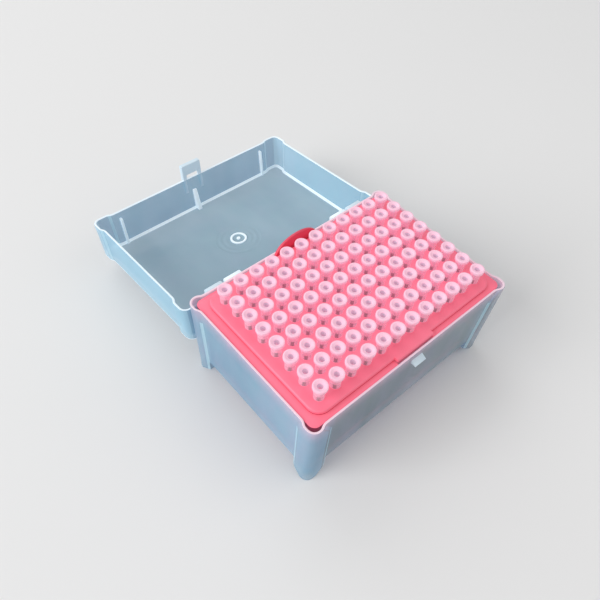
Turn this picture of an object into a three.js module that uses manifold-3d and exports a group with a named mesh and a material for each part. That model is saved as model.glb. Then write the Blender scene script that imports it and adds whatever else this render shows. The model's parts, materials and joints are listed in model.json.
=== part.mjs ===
// A hinged box of pipette tips: a tub on four corner feet, a lid that swings on two snap-in
// hinges, a perforated rack and the tips that hang in it.
// Millimetres, +Z up. X runs along a row of tips and Y from the latch to the hinge. The box is
// drawn with its lid open, standing on z = 0, with the middle of its outer box at x = y = 0.

import * as THREE from "three";
import { mergeVertices } from "three/addons/utils/BufferGeometryUtils.js";
import Module from "manifold-3d";

const wasm = await Module();
wasm.setup();

// ---- Driving dimensions ---------------------------------------------------------------------

// Grid of tips
const COLUMNS = 12;
const PITCH = 9;
const ROW_LETTERS = "ABCDEFGH"; // A is the row next to the hinge
const LOOSE_ROWS = "ABGH"; // rows whose tips are solids of their own; the rest are one with the rack

// One tip, from its mouth down
const TIP_LENGTH = 47;
const TIP_HEAD = 8.5; // what stands above the rack
const COLLAR_RADIUS = 3.4;
const COLLAR_HEIGHT = 1.8;
const COLLAR_TAPER = 0.7;
const NECK_RADIUS = 2.6;
const SHANK_RADIUS = 2.1;
const POINT_RADIUS = 0.55;
const MOUTH_RADIUS = 2.5;
const FUNNEL_DEPTH = 1.5; // over which the mouth narrows to the bore
const TIP_WALL = 0.5;
const POINT_WALL = 0.27;
const TIP_SIDES = 8;
const SEAT_GAP = 0.1; // between a tip's seat and the rack
const TIP_TO_FLOOR = 1.5;

// Tub, sizes outside the wall at its rim
const TUB_MARGIN_X = 12.2; // from the outermost tip's axis to the outside of the wall
const TUB_MARGIN_Y = 10.7;
const WALL = 1.2;
const DRAFT = 0.027; // inset per millimetre of height
const FLOOR = 1.2;
const FOOT_HEIGHT = 11; // from the table to the underside of the floor
const DECK_ABOVE_RIM = 1.6;
const POST_LENGTH_X = 11.4; // of a corner post, from the corner along each wall
const POST_LENGTH_Y = 10;
const POST_BULGE = 1.3; // how far a post stands proud of the walls
const POST_SLOPE = 2.6; // length over which it rises
const POST_RADIUS = 5;
const FOOT_EDGE = 0.8; // radius round the bottom of the feet
const CORNER_SEGMENTS = 5;
const EDGE_SEGMENTS = 3;

// Rack
const DECK_MARGIN = 6.8; // from the outermost tip's axis to the deck's edge
const DECK_THICKNESS = 1.6;
const DECK_RADIUS = 6;
const SKIRT = 6; // below the flange
const SKIRT_WALL = 1.4;
const FLANGE_BELOW_RIM = 0.8;
const FLANGE_THICKNESS = 1.4;
const FLANGE_RADIUS = 6.5;
const FLANGE_GAP = 0.4; // to the tub's wall
const HOLE_GAP = 0.2; // between a tip's shank and its hole
const NOTCH_WIDTH = 23; // of the finger notch in front
const NOTCH_GAP = 0.8; // from the deck's lip over it to the tub's wall
const TAB_WIDTH = 27; // of the arched pull tab at the back
const TAB_HEIGHT = 9;
const TAB_THICKNESS = 1.4;
const LEDGE_THICKNESS = 1.2; // of the ribs in the tub that carry the flange
const SKIRT_GAP = 0.5; // between those ribs and the skirt
const LEDGE_INSET = 1; // from the start of a post to the middle of the rib beside it
const LEDGE_GAP = 0.1;

// Lid
const LID_HEIGHT = 22.4;
const LID_OVERLAP = 3.6; // how far the closed lid reaches down over the tub
const LID_GAP = 0.3; // between the lid and the tub
const LID_POST_SLACK = 1; // how much sooner the lid's posts start, so that they swing past the tub's
const LID_TOP = 1.2;
const LID_EDGE = 1.1; // radius round its top
const LID_RIB_SPREAD = 98.4; // between the two stop ribs of the front wall
const LID_RIB_DEPTH = 1.8;
const LID_RIB_THICKNESS = 1.2;
const GUSSET_DEPTH = 3.6;
const GUSSET_HEIGHT = 13;
const GATE_RADIUS = 4.8; // of the raised ring inside its top, where the moulding was filled
const GATE_RIM = 1.2;
const GATE_NUB = 1.1; // radius of the nub in its middle
const GATE_RISE = 0.5;

// Latch
const TAB_LATCH_WIDTH = 12.4;
const TAB_LATCH_LENGTH = 9; // below the lid's rim
const LATCH_FRAME = 1.7; // width of its raised frame
const LATCH_RISE = 1.5; // height of the frame
const LATCH_ROOT = 9; // length of the frame on the lid's wall
const SLOT_WIDTH = 7.6;
const SLOT_HEIGHT = 3;
const CATCH_REACH = 2.6;
const CATCH_HEIGHT = 2.3;
const CATCH_GAP = 0.3; // under the catch and at each end of it

// Hinges
const HINGE_SPREAD = 80.8; // between the middles of the two hinges
const KNUCKLE_LENGTH = 9;
const KNUCKLE_PLAY = 2.2; // between the two knuckles of a hinge
const KNUCKLE_RADIUS = 2.7;
const PIN_RADIUS = 1.2;
const PIN_GAP = 0.3;
const HINGE_OUT = 2.9; // from the tub's wall at its rim to the axis
const HINGE_BELOW_RIM = 6.5;
const HINGE_SIDES = 16;
const OPEN_GAP = 0.3; // left between lid and tub where the open lid leans on its stops

// ---- Sizes that follow ----------------------------------------------------------------------

const ROWS = ROW_LETTERS.length;
const GRID_X = ((COLUMNS - 1) * PITCH) / 2;
const GRID_Y = ((ROWS - 1) * PITCH) / 2;
const HALF_X = GRID_X + TUB_MARGIN_X;
const HALF_Y = GRID_Y + TUB_MARGIN_Y;
const FLOOR_TOP = FOOT_HEIGHT + FLOOR;
const DECK_Z = FLOOR_TOP + TIP_TO_FLOOR + TIP_LENGTH - TIP_HEAD - SEAT_GAP;
const RIM_Z = DECK_Z - DECK_ABOVE_RIM;
const POST_X = HALF_X - POST_LENGTH_X;
const POST_Y = HALF_Y - POST_LENGTH_Y;
const FLANGE_Z = RIM_Z - FLANGE_BELOW_RIM;
const FLANGE_UNDER = FLANGE_Z - FLANGE_THICKNESS;
const HOLE_RADIUS = SHANK_RADIUS + HOLE_GAP;
const LID_RIM_Z = RIM_Z - LID_OVERLAP;
const LID_HALF_X = HALF_X + LID_GAP + DRAFT * LID_OVERLAP + WALL;
const LID_HALF_Y = HALF_Y + LID_GAP + DRAFT * LID_OVERLAP + WALL;
const LID_CEILING = LID_HEIGHT - LID_TOP;
const HINGE_Y = HALF_Y + HINGE_OUT;
const HINGE_Z = RIM_Z - HINGE_BELOW_RIM;

// ---- Materials ------------------------------------------------------------------------------

const frosted = { color: 0xcfe0ea, roughness: 0.35, metalness: 0, transparent: true, opacity: 0.45 };
const clear = { color: 0xf6ecf4, roughness: 0.3, metalness: 0, transparent: true, opacity: 0.8 };
const coral = { color: 0xf4587a, roughness: 0.45, metalness: 0 };

// ---- Solids ---------------------------------------------------------------------------------

// A closed geometry as a solid that can be joined and cut.
function solid(geometry) {
  const bare = geometry.clone();
  bare.deleteAttribute("normal");
  bare.deleteAttribute("uv");
  const merged = mergeVertices(bare, 1e-4);
  const mesh = new wasm.Mesh({
    numProp: 3,
    vertProperties: merged.attributes.position.array,
    triVerts: new Uint32Array(merged.index.array),
  });
  return new wasm.Manifold(mesh);
}

const joined = (solids) => solids.reduce((sum, next) => sum.add(next));

// A solid as a named mesh.
function meshOf(name, body, look) {
  const data = body.getMesh();
  const geometry = new THREE.BufferGeometry();
  geometry.setAttribute("position", new THREE.BufferAttribute(data.vertProperties, 3));
  geometry.setIndex(new THREE.BufferAttribute(data.triVerts, 1));
  geometry.computeVertexNormals();
  const mesh = new THREE.Mesh(geometry, new THREE.MeshStandardMaterial(look));
  mesh.name = name;
  return mesh;
}

// A box between two corners.
function block([x0, y0, z0], [x1, y1, z1]) {
  const box = new THREE.BoxGeometry(x1 - x0, y1 - y0, z1 - z0);
  return solid(box.translate((x0 + x1) / 2, (y0 + y1) / 2, (z0 + z1) / 2));
}

// A rod along X.
function rod(radius, x0, x1, y, z) {
  const bar = new THREE.CylinderGeometry(radius, radius, x1 - x0, HINGE_SIDES);
  return solid(bar.rotateZ(Math.PI / 2).translate((x0 + x1) / 2, y, z));
}

// An outline in the YZ plane, drawn with y to the right and z up, extruded along X.
function alongX(points, x0, x1) {
  const shape = new THREE.Shape(points.map(([y, z]) => new THREE.Vector2(y, z)));
  const plate = new THREE.ExtrudeGeometry(shape, { depth: x1 - x0, bevelEnabled: false });
  return solid(plate.rotateX(Math.PI / 2).rotateZ(Math.PI / 2).translate(x0, 0, 0));
}

// A rounded rectangle about the origin.
function roundedRectangle(halfX, halfY, radius) {
  const shape = new THREE.Shape();
  shape.moveTo(halfX, -halfY + radius);
  shape.absarc(halfX - radius, halfY - radius, radius, 0, Math.PI / 2);
  shape.absarc(-halfX + radius, halfY - radius, radius, Math.PI / 2, Math.PI);
  shape.absarc(-halfX + radius, -halfY + radius, radius, Math.PI, 1.5 * Math.PI);
  shape.absarc(halfX - radius, -halfY + radius, radius, 1.5 * Math.PI, 2 * Math.PI);
  return shape;
}

// The plan of the box: a rectangle whose corners stand proud as posts. halfX and halfY go to
// the walls, slack lengthens the posts, and offset is how far this outline lies inside the
// outer one.
function postedOutline(halfX, halfY, slack, offset) {
  const radius = POST_RADIUS - offset;
  const [postX, postY] = [POST_X - slack, POST_Y - slack];
  const corner = [new THREE.Vector2(halfX, postY)];
  const [centreX, centreY] = [halfX + POST_BULGE - radius, halfY + POST_BULGE - radius];
  corner.push(new THREE.Vector2(halfX + POST_BULGE, postY + POST_SLOPE));
  for (let i = 0; i <= CORNER_SEGMENTS; i++) {
    const angle = (i / CORNER_SEGMENTS) * (Math.PI / 2);
    const reach = new THREE.Vector2(Math.cos(angle), Math.sin(angle)).multiplyScalar(radius);
    corner.push(reach.add(new THREE.Vector2(centreX, centreY)));
  }
  corner.push(new THREE.Vector2(postX + POST_SLOPE, halfY + POST_BULGE));
  corner.push(new THREE.Vector2(postX, halfY));
  const mirror = (points, signX, signY) =>
    points.map((p) => new THREE.Vector2(signX * p.x, signY * p.y));
  return [
    ...corner,
    ...mirror(corner, -1, 1).reverse(),
    ...mirror(corner, -1, -1),
    ...mirror(corner, 1, -1).reverse(),
  ];
}

// How a rounded edge of this radius rises and draws in, from its wall to its flat.
function rounding(radius) {
  const steps = [];
  for (let i = 0; i <= EDGE_SEGMENTS; i++) {
    const angle = (i / EDGE_SEGMENTS) * (Math.PI / 2);
    steps.push([radius * Math.sin(angle), radius * (1 - Math.cos(angle))]);
  }
  return steps;
}

// A posted outline carried up through levels [z, inset], each drawn in by its inset.
function lofted(halfX, halfY, slack, offset, levels) {
  const outline = postedOutline(halfX - offset, halfY - offset, slack, offset);
  const steps = levels.length - 1;
  const options = { depth: steps, steps, bevelEnabled: false };
  const prism = new THREE.ExtrudeGeometry(new THREE.Shape(outline), options);
  const position = prism.attributes.position;
  for (let i = 0; i < position.count; i++) {
    const [z, inset] = levels[Math.round(position.getZ(i))];
    const x = position.getX(i) * (1 - inset / halfX);
    const y = position.getY(i) * (1 - inset / halfY);
    position.setXYZ(i, x, y, z);
  }
  return solid(prism);
}

// A profile of [radius, z], from one point on the Z axis to another, turned about (x, y).
function turned(profile, x, y) {
  const points = profile.map(([radius, z]) => new THREE.Vector2(radius, z));
  const lathe = new THREE.LatheGeometry(points, TIP_SIDES, Math.PI / TIP_SIDES);
  return solid(lathe.rotateX(Math.PI / 2).translate(x, y, 0));
}

// A round disc or hole cutter about the Z axis.
function disc(radius, z0, z1) {
  const round = new THREE.CylinderGeometry(radius, radius, z1 - z0, 2 * TIP_SIDES);
  return solid(round.rotateX(Math.PI / 2).translate(0, 0, (z0 + z1) / 2));
}

// ---- Grid -----------------------------------------------------------------------------------

function places(letters) {
  const found = [];
  for (const letter of letters) {
    const y = GRID_Y - ROW_LETTERS.indexOf(letter) * PITCH;
    for (let column = 0; column < COLUMNS; column++) {
      const name = letter + String(column + 1).padStart(2, "0");
      found.push({ name, x: column * PITCH - GRID_X, y });
    }
  }
  return found;
}

// ---- Tips -----------------------------------------------------------------------------------

// The outside of a tip whose seat lies at height z.
function tipBarrel({ x, y }, z) {
  const top = z + TIP_HEAD;
  const bottom = top - TIP_LENGTH;
  const profile = [
    [0, bottom],
    [POINT_RADIUS, bottom],
    [SHANK_RADIUS, z],
    [NECK_RADIUS, z],
    [NECK_RADIUS, top - COLLAR_HEIGHT - COLLAR_TAPER],
    [COLLAR_RADIUS, top - COLLAR_HEIGHT],
    [COLLAR_RADIUS, top],
    [0, top],
  ];
  return turned(profile, x, y);
}

// What is hollow in that tip, open at both ends.
function tipBore({ x, y }, z) {
  const top = z + TIP_HEAD;
  const bottom = top - TIP_LENGTH;
  const profile = [
    [0, bottom - 1],
    [POINT_RADIUS - POINT_WALL, bottom - 1],
    [POINT_RADIUS - POINT_WALL, bottom],
    [SHANK_RADIUS - TIP_WALL, z],
    [SHANK_RADIUS - TIP_WALL, top - FUNNEL_DEPTH],
    [MOUTH_RADIUS, top],
    [MOUTH_RADIUS, top + 1],
    [0, top + 1],
  ];
  return turned(profile, x, y);
}

// ---- Rack -----------------------------------------------------------------------------------

function deckOutline(inset) {
  const [halfX, halfY] = [GRID_X + DECK_MARGIN - inset, GRID_Y + DECK_MARGIN - inset];
  return roundedRectangle(halfX, halfY, DECK_RADIUS - inset);
}

function extruded(shape, z0, z1) {
  const options = { depth: z1 - z0, bevelEnabled: false, curveSegments: CORNER_SEGMENTS };
  return solid(new THREE.ExtrudeGeometry(shape, options).translate(0, 0, z0));
}

// The deck with one round hole for each loose tip.
function deckPlate() {
  const plate = deckOutline(0);
  for (const { x, y } of places(LOOSE_ROWS)) {
    const hole = new THREE.Path();
    for (let i = 0; i < TIP_SIDES; i++) {
      const angle = ((i + 0.5) / TIP_SIDES) * 2 * Math.PI;
      const [u, v] = [HOLE_RADIUS * Math.cos(angle), HOLE_RADIUS * Math.sin(angle)];
      if (i === 0) hole.moveTo(x + u, y + v);
      else hole.lineTo(x + u, y + v);
    }
    hole.closePath();
    plate.holes.push(hole);
  }
  return extruded(plate, DECK_Z - DECK_THICKNESS, DECK_Z);
}

// The arched tab that the rack is lifted by.
function pullTab() {
  const arch = new THREE.Shape();
  arch.absellipse(0, 0, TAB_WIDTH / 2, TAB_HEIGHT, 0, Math.PI);
  const options = { depth: TAB_THICKNESS, bevelEnabled: false, curveSegments: 2 * CORNER_SEGMENTS };
  const plate = new THREE.ExtrudeGeometry(arch, options);
  const back = HALF_Y - WALL - FLANGE_GAP;
  return solid(plate.rotateX(Math.PI / 2).translate(0, back, FLANGE_Z - FLANGE_THICKNESS / 2));
}

function rackSolid() {
  const [flangeX, flangeY] = [HALF_X - WALL - FLANGE_GAP, HALF_Y - WALL - FLANGE_GAP];
  const flange = extruded(
    roundedRectangle(flangeX, flangeY, FLANGE_RADIUS), FLANGE_UNDER, FLANGE_Z);
  const skirt = extruded(deckOutline(0), FLANGE_UNDER - SKIRT, DECK_Z - DECK_THICKNESS);
  const hollow = extruded(deckOutline(SKIRT_WALL), FLANGE_UNDER - SKIRT - 1, DECK_Z);
  const edge = -GRID_Y - DECK_MARGIN;
  const notch = block(
    [-NOTCH_WIDTH / 2, -HALF_Y, FLANGE_UNDER - SKIRT - 1],
    [NOTCH_WIDTH / 2, edge, FLANGE_Z + 1]);
  const lip = block(
    [-NOTCH_WIDTH / 2, -HALF_Y + WALL + NOTCH_GAP, DECK_Z - DECK_THICKNESS],
    [NOTCH_WIDTH / 2, edge + SKIRT_WALL / 2, DECK_Z]);
  const frame = flange.add(skirt).subtract(hollow).subtract(notch);
  const tray = joined([frame, deckPlate(), lip, pullTab()]);
  const fixed = places(ROW_LETTERS).filter(({ name }) => !LOOSE_ROWS.includes(name[0]));
  const barrels = fixed.map((place) => tipBarrel(place, DECK_Z));
  const bores = fixed.map((place) => tipBore(place, DECK_Z));
  return joined([tray, ...barrels]).subtract(joined(bores));
}

// ---- Tub ------------------------------------------------------------------------------------

const tubInset = (z) => DRAFT * (RIM_Z - z);

// The ribs inside the walls that the rack's flange rests on.
function ledges() {
  const found = [];
  const top = FLANGE_UNDER - LEDGE_GAP;
  const half = LEDGE_THICKNESS / 2;
  const [innerX, innerY] = [GRID_X + DECK_MARGIN + SKIRT_GAP, GRID_Y + DECK_MARGIN + SKIRT_GAP];
  for (const side of [-1, 1]) {
    for (const end of [-1, 1]) {
      const x = end * (POST_X - LEDGE_INSET);
      const y = end * (POST_Y - LEDGE_INSET);
      const [yNear, yFar] = [side * innerY, side * HALF_Y].sort((a, b) => a - b);
      const [xNear, xFar] = [side * innerX, side * HALF_X].sort((a, b) => a - b);
      found.push(block([x - half, yNear, FLOOR_TOP - FLOOR / 2], [x + half, yFar, top]));
      found.push(block([xNear, y - half, FLOOR_TOP - FLOOR / 2], [xFar, y + half, top]));
    }
  }
  return joined(found);
}

// The wedge that the lid's slot snaps over, flat underneath.
function catchWedge() {
  const slotFoot = LID_RIM_Z - SLOT_HEIGHT;
  const foot = slotFoot + CATCH_GAP;
  const wall = -HALF_Y + WALL / 2;
  const half = SLOT_WIDTH / 2 - CATCH_GAP;
  const wedge = [
    [wall, foot],
    [wall, foot + CATCH_HEIGHT],
    [-HALF_Y + tubInset(foot), foot + CATCH_HEIGHT],
    [-HALF_Y - CATCH_REACH, foot + CATCH_HEIGHT / 4],
    [-HALF_Y - CATCH_REACH, foot],
  ];
  return alongX(wedge, -half, half);
}

// Where the knuckles of one hinge lie along X, inner (lid) and outer (tub).
const INNER_END = HINGE_SPREAD / 2 - KNUCKLE_PLAY / 2;
const OUTER_START = HINGE_SPREAD / 2 + KNUCKLE_PLAY / 2;
const span = (side, a, b) => (side > 0 ? [a, b] : [-b, -a]);

function tubKnuckle(side) {
  const [x0, x1] = span(side, OUTER_START, OUTER_START + KNUCKLE_LENGTH);
  const barrel = rod(KNUCKLE_RADIUS, x0, x1, HINGE_Y, HINGE_Z);
  const web = block(
    [x0, HALF_Y - WALL / 2 - tubInset(HINGE_Z), HINGE_Z - KNUCKLE_RADIUS],
    [x1, HINGE_Y, HINGE_Z + KNUCKLE_RADIUS * Math.cos(Math.PI / 4)]);
  return barrel.add(web);
}

function pinHole(side) {
  const [x0, x1] = span(side, OUTER_START - 1, OUTER_START + KNUCKLE_LENGTH + 1);
  return rod(PIN_RADIUS + PIN_GAP, x0, x1, HINGE_Y, HINGE_Z);
}

// What lies between the feet, under the floor.
function underFloor() {
  const far = HALF_X + HALF_Y;
  return block([-POST_X, -far, -1], [POST_X, far, FOOT_HEIGHT]).add(
    block([-far, -POST_Y, -1], [far, POST_Y, FOOT_HEIGHT]));
}

// The inside: the whole plan down to the floor, and a pocket in each foot below it.
function tubHollow() {
  const reach = (z) => [z, tubInset(z)];
  const deep = lofted(HALF_X, HALF_Y, 0, WALL, [reach(FLOOR), reach(RIM_Z + 1)]);
  const [footX, footY] = [POST_X + WALL, POST_Y + WALL];
  const far = HALF_X + HALF_Y;
  const floor = block([-footX, -far, 0], [footX, far, FLOOR_TOP]).add(
    block([-far, -footY, 0], [far, footY, FLOOR_TOP]));
  return deep.subtract(floor);
}

function tubSolid() {
  const foot = rounding(FOOT_EDGE).map(([rise, inset]) => {
    const z = FOOT_EDGE - rise;
    return [z, tubInset(z) + inset];
  });
  const shell = lofted(HALF_X, HALF_Y, 0, 0, [...foot.reverse(), [RIM_Z, 0]]);
  const tub = shell.subtract(underFloor()).add(tubKnuckle(-1)).add(tubKnuckle(1));
  const hollow = tubHollow();
  const ribs = ledges().intersect(shell).intersect(
    block([-HALF_X - 9, -HALF_Y - 9, FLOOR_TOP - FLOOR], [HALF_X + 9, HALF_Y + 9, RIM_Z]));
  return tub
    .subtract(hollow)
    .subtract(pinHole(-1))
    .subtract(pinHole(1))
    .add(ribs)
    .add(catchWedge());
}

// ---- Lid, drawn shut ------------------------------------------------------------------------

function lidOuter() {
  const top = rounding(LID_EDGE).map(([rise, inset]) => {
    const height = LID_HEIGHT - LID_EDGE + rise;
    return [LID_RIM_Z + height, DRAFT * height + inset];
  });
  return lofted(LID_HALF_X, LID_HALF_Y, LID_POST_SLACK, 0, [[LID_RIM_Z, 0], ...top]);
}

function lidInner() {
  const level = (height) => [LID_RIM_Z + height, DRAFT * height];
  const levels = [level(-1), level(LID_CEILING)];
  return lofted(LID_HALF_X, LID_HALF_Y, LID_POST_SLACK, WALL, levels);
}

// The two ribs that stop on the tub's rim, and the gusset between them.
function lidRibs() {
  const inner = (z) => -LID_HALF_Y + WALL + DRAFT * (z - LID_RIM_Z);
  const half = LID_RIB_THICKNESS / 2;
  const foot = RIM_Z + LID_GAP;
  const top = LID_RIM_Z + LID_CEILING;
  const ceiling = top + LID_TOP / 2;
  const rib = [
    [-LID_HALF_Y, foot],
    [inner(foot) + LID_RIB_DEPTH, foot],
    [inner(top) + LID_RIB_DEPTH, top],
    [inner(top) + LID_RIB_DEPTH, ceiling],
    [-LID_HALF_Y, ceiling],
  ];
  const gusset = [
    [inner(top - GUSSET_HEIGHT) - WALL / 2, top - GUSSET_HEIGHT],
    [inner(top) + GUSSET_DEPTH, top],
    [inner(top) + GUSSET_DEPTH, ceiling],
    [inner(top) - WALL / 2, ceiling],
  ];
  const side = LID_RIB_SPREAD / 2;
  return joined([
    alongX(rib, -side - half, -side + half),
    alongX(rib, side - half, side + half),
    alongX(gusset, -half, half),
  ]);
}

// A raised ring with a nub in it.
function gateMark() {
  const top = LID_RIM_Z + LID_CEILING;
  const rise = (radius) => disc(radius, top - GATE_RISE, top + LID_TOP / 2);
  return rise(GATE_RADIUS).subtract(disc(GATE_RADIUS - GATE_RIM, 0, top)).add(rise(GATE_NUB));
}

// The flexible tab in front: a tongue of the wall with a slot for the catch, and a frame.
function latchTab() {
  const half = TAB_LATCH_WIDTH / 2;
  const [outer, inner] = [-LID_HALF_Y, -LID_HALF_Y + WALL];
  const end = LID_RIM_Z - TAB_LATCH_LENGTH;
  const root = LID_RIM_Z + LATCH_ROOT;
  const tongue = block([-half, outer, end], [half, inner, LID_RIM_Z + WALL]);
  const bar = block([-half, outer - LATCH_RISE, end], [half, outer + WALL / 2, end + LATCH_FRAME]);
  const strip = [
    [outer - LATCH_RISE, end],
    [outer + WALL / 2, end],
    [outer + WALL / 2, root],
    [outer, root],
    [outer - LATCH_RISE, root - 2 * LATCH_RISE],
  ];
  return joined([
    tongue,
    bar,
    alongX(strip, -half, -half + LATCH_FRAME),
    alongX(strip, half - LATCH_FRAME, half),
  ]);
}

function latchSlot() {
  const far = LID_HALF_Y + 2 * LATCH_RISE;
  return block(
    [-SLOT_WIDTH / 2, -far, LID_RIM_Z - SLOT_HEIGHT],
    [SLOT_WIDTH / 2, -LID_HALF_Y + 2 * WALL, LID_RIM_Z + CATCH_GAP]);
}

function lidKnuckle(side) {
  const [x0, x1] = span(side, INNER_END - KNUCKLE_LENGTH, INNER_END);
  const [p0, p1] = span(side, INNER_END - 1, OUTER_START + KNUCKLE_LENGTH - 1);
  const barrel = rod(KNUCKLE_RADIUS, x0, x1, HINGE_Y, HINGE_Z);
  const pin = rod(PIN_RADIUS, p0, p1, HINGE_Y, HINGE_Z);
  const front = LID_HALF_Y - WALL / 2;
  const arm = block(
    [x0, front, HINGE_Z],
    [x1, HINGE_Y + KNUCKLE_RADIUS * Math.cos(Math.PI / 4), LID_RIM_Z + KNUCKLE_RADIUS]);
  return joined([barrel, pin, arm]);
}

function lidSolid() {
  const outer = lidOuter();
  return outer
    .subtract(lidInner())
    .add(lidRibs().intersect(outer))
    .add(latchTab())
    .subtract(latchSlot())
    .add(lidKnuckle(-1))
    .add(lidKnuckle(1))
    .add(gateMark());
}

// ---- How far the lid opens ------------------------------------------------------------------

// The gap between the lid's back posts and the tub's, with the lid swung open by an angle.
function gapWhenOpen(angle) {
  const [sin, cos] = [Math.sin(angle), Math.cos(angle)];
  const gaps = [0, LID_HEIGHT - LID_EDGE, LID_HEIGHT].map((height) => {
    const inset = DRAFT * height + (height === LID_HEIGHT ? LID_EDGE : 0);
    const y = LID_HALF_Y + POST_BULGE - inset - HINGE_Y;
    const z = LID_RIM_Z + height - HINGE_Z;
    const swungY = HINGE_Y + y * cos + z * sin;
    const swungZ = HINGE_Z - y * sin + z * cos;
    return swungY - (HALF_Y + POST_BULGE - tubInset(swungZ));
  });
  return Math.min(...gaps);
}

// The angle at which that gap has closed to OPEN_GAP.
function openAngle() {
  let [low, high] = [Math.PI * 0.9, Math.PI * 1.2];
  for (let i = 0; i < 40; i++) {
    const middle = (low + high) / 2;
    if (gapWhenOpen(middle) > OPEN_GAP) low = middle;
    else high = middle;
  }
  return low;
}

// ---- Assembly -------------------------------------------------------------------------------

const box = new THREE.Group();
const stand = new THREE.Group();
box.add(stand);
stand.add(meshOf("tub", tubSolid(), frosted));
stand.add(meshOf("rack", rackSolid(), coral));
for (const place of places(LOOSE_ROWS)) {
  const seat = DECK_Z + SEAT_GAP;
  const tip = tipBarrel(place, seat).subtract(tipBore(place, seat));
  stand.add(meshOf("tip_" + place.name, tip, clear));
}

const hinge = new THREE.Group();
hinge.position.set(0, HINGE_Y, HINGE_Z);
hinge.rotation.x = -openAngle();
const lid = meshOf("lid", lidSolid(), frosted);
lid.position.set(0, -HINGE_Y, -HINGE_Z);
hinge.add(lid);
stand.add(hinge);

// The middle of the whole outline goes to y = 0.
const outline = new THREE.Box3().setFromObject(stand, true);
stand.position.y = -(outline.min.y + outline.max.y) / 2;

export default box;
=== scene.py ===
"""The finished look of a hinged box of pipette tips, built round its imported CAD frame.

Every sub-assembly is drawn in millimetres about the middle of the grid of tips, with +Z up, the
latch towards -Y and the lid shut, and is put in its place in the frame as a last step. Finishes
are in metres, because their patterns lie in the frame.
"""

import json
import logging
import math
from collections.abc import Callable, Iterable, Sequence
from dataclasses import dataclass, field, replace
from enum import Enum
from itertools import product

import bmesh
import bpy
from bmesh.types import BMEdge, BMesh, BMFace, BMVert
from mathutils import Euler, Matrix, Vector

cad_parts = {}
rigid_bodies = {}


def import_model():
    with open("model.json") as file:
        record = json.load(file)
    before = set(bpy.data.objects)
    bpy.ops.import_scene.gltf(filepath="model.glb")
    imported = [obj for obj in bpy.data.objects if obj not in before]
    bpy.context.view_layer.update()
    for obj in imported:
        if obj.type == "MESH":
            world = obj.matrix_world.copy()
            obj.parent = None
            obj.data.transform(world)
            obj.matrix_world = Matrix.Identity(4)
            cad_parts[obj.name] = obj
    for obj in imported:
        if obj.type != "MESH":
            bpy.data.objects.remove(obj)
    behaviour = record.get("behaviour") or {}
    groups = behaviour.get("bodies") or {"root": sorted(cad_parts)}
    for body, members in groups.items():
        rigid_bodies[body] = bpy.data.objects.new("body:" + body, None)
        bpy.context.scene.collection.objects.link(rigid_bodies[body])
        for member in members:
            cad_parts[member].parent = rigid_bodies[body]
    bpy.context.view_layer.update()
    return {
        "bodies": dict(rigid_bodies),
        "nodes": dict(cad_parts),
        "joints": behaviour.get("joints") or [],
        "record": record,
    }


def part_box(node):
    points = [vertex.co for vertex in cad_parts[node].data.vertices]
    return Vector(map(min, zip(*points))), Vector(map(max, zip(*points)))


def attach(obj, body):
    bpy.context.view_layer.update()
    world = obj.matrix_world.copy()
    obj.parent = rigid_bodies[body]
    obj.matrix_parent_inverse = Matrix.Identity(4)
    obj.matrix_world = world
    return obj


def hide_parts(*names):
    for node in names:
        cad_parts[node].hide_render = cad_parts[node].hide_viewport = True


LOG = logging.getLogger("tip_box")
MM = 0.001
PLASTIC_IOR = 1.49

# How near corners count as on a cutting plane, as one, and as on one level, in millimetres.
ON_PLANE = 1e-5
SAME_SPOT = 1e-4
SAME_LEVEL = 1e-3

# The part of a face's normal along an axis from which the face counts as square to it.
SQUARE = 0.9

# How far the rings at the mould's gates reach into the face that they hang from.
RING_ROOT = 0.3

Pair = tuple[float, float]
Triple = tuple[float, float, float]
Colour = Triple
Outline = Sequence[Pair]
BLACK: Colour = (0.0, 0.0, 0.0)


class Side(Enum):
    """Which half of the box a mirrored feature is on."""

    LEFT = -1
    RIGHT = 1


class ShellCoat(Enum):
    """The material slots of the tub's and the lid's mesh, in order."""

    WALL = 0
    EDGE = 1
    SLOPE = 2
    PANE = 3
    END = 4
    LATCH = 5
    LINING = 6


class RackCoat(Enum):
    """The material slots of the rack's mesh, in order."""

    DECK = 0
    TAB_SHADE = 1
    CORNER_SHADE = 2


class TipCoat(Enum):
    """The material slots of a tip's mesh, in order."""

    FILM = 0
    MOUTH = 1
    BORE = 2
    SHADED_CORE = 3
    FOOT = 4
    SHAFT = 5


class Turn(Enum):
    """Which way a rounded edge goes round as a face is inset again and again."""

    WALL_TO_FLAT = "wall to flat"
    FLAT_TO_WALL = "flat to wall"


# ---- Shader building ----


def operator(operation: str, swapped: bool = False) -> Callable[..., "Signal"]:
    """Makes one of Signal's operators.

    Args:
        operation: The Math node's operation.
        swapped: Whether the other value comes first.

    Returns:
        The method.
    """

    def apply(self: "Signal", *other: "Signal | float") -> "Signal":
        """The result of a Math node on the signal and the other value, if there is one."""
        return self.tree.math(operation, *((*other, self) if swapped else (self, *other)))

    return apply


@dataclass(frozen=True)
class Signal:
    """One output socket of a node tree. Python's operators on it add Math nodes."""

    tree: "Tree"
    socket: bpy.types.NodeSocket

    __add__ = __radd__ = operator("ADD")
    __sub__ = operator("SUBTRACT")
    __rsub__ = operator("SUBTRACT", swapped=True)
    __mul__ = __rmul__ = operator("MULTIPLY")
    __truediv__ = operator("DIVIDE")
    __rtruediv__ = operator("DIVIDE", swapped=True)
    __gt__ = operator("GREATER_THAN")
    __lt__ = operator("LESS_THAN")
    __abs__ = operator("ABSOLUTE")

    def clamped(self) -> "Signal":
        """The value, kept between 0 and 1."""
        return self.tree.math("MINIMUM", self.tree.math("MAXIMUM", self, 0.0), 1.0)


Value = Signal | float | tuple[float, ...]


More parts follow.
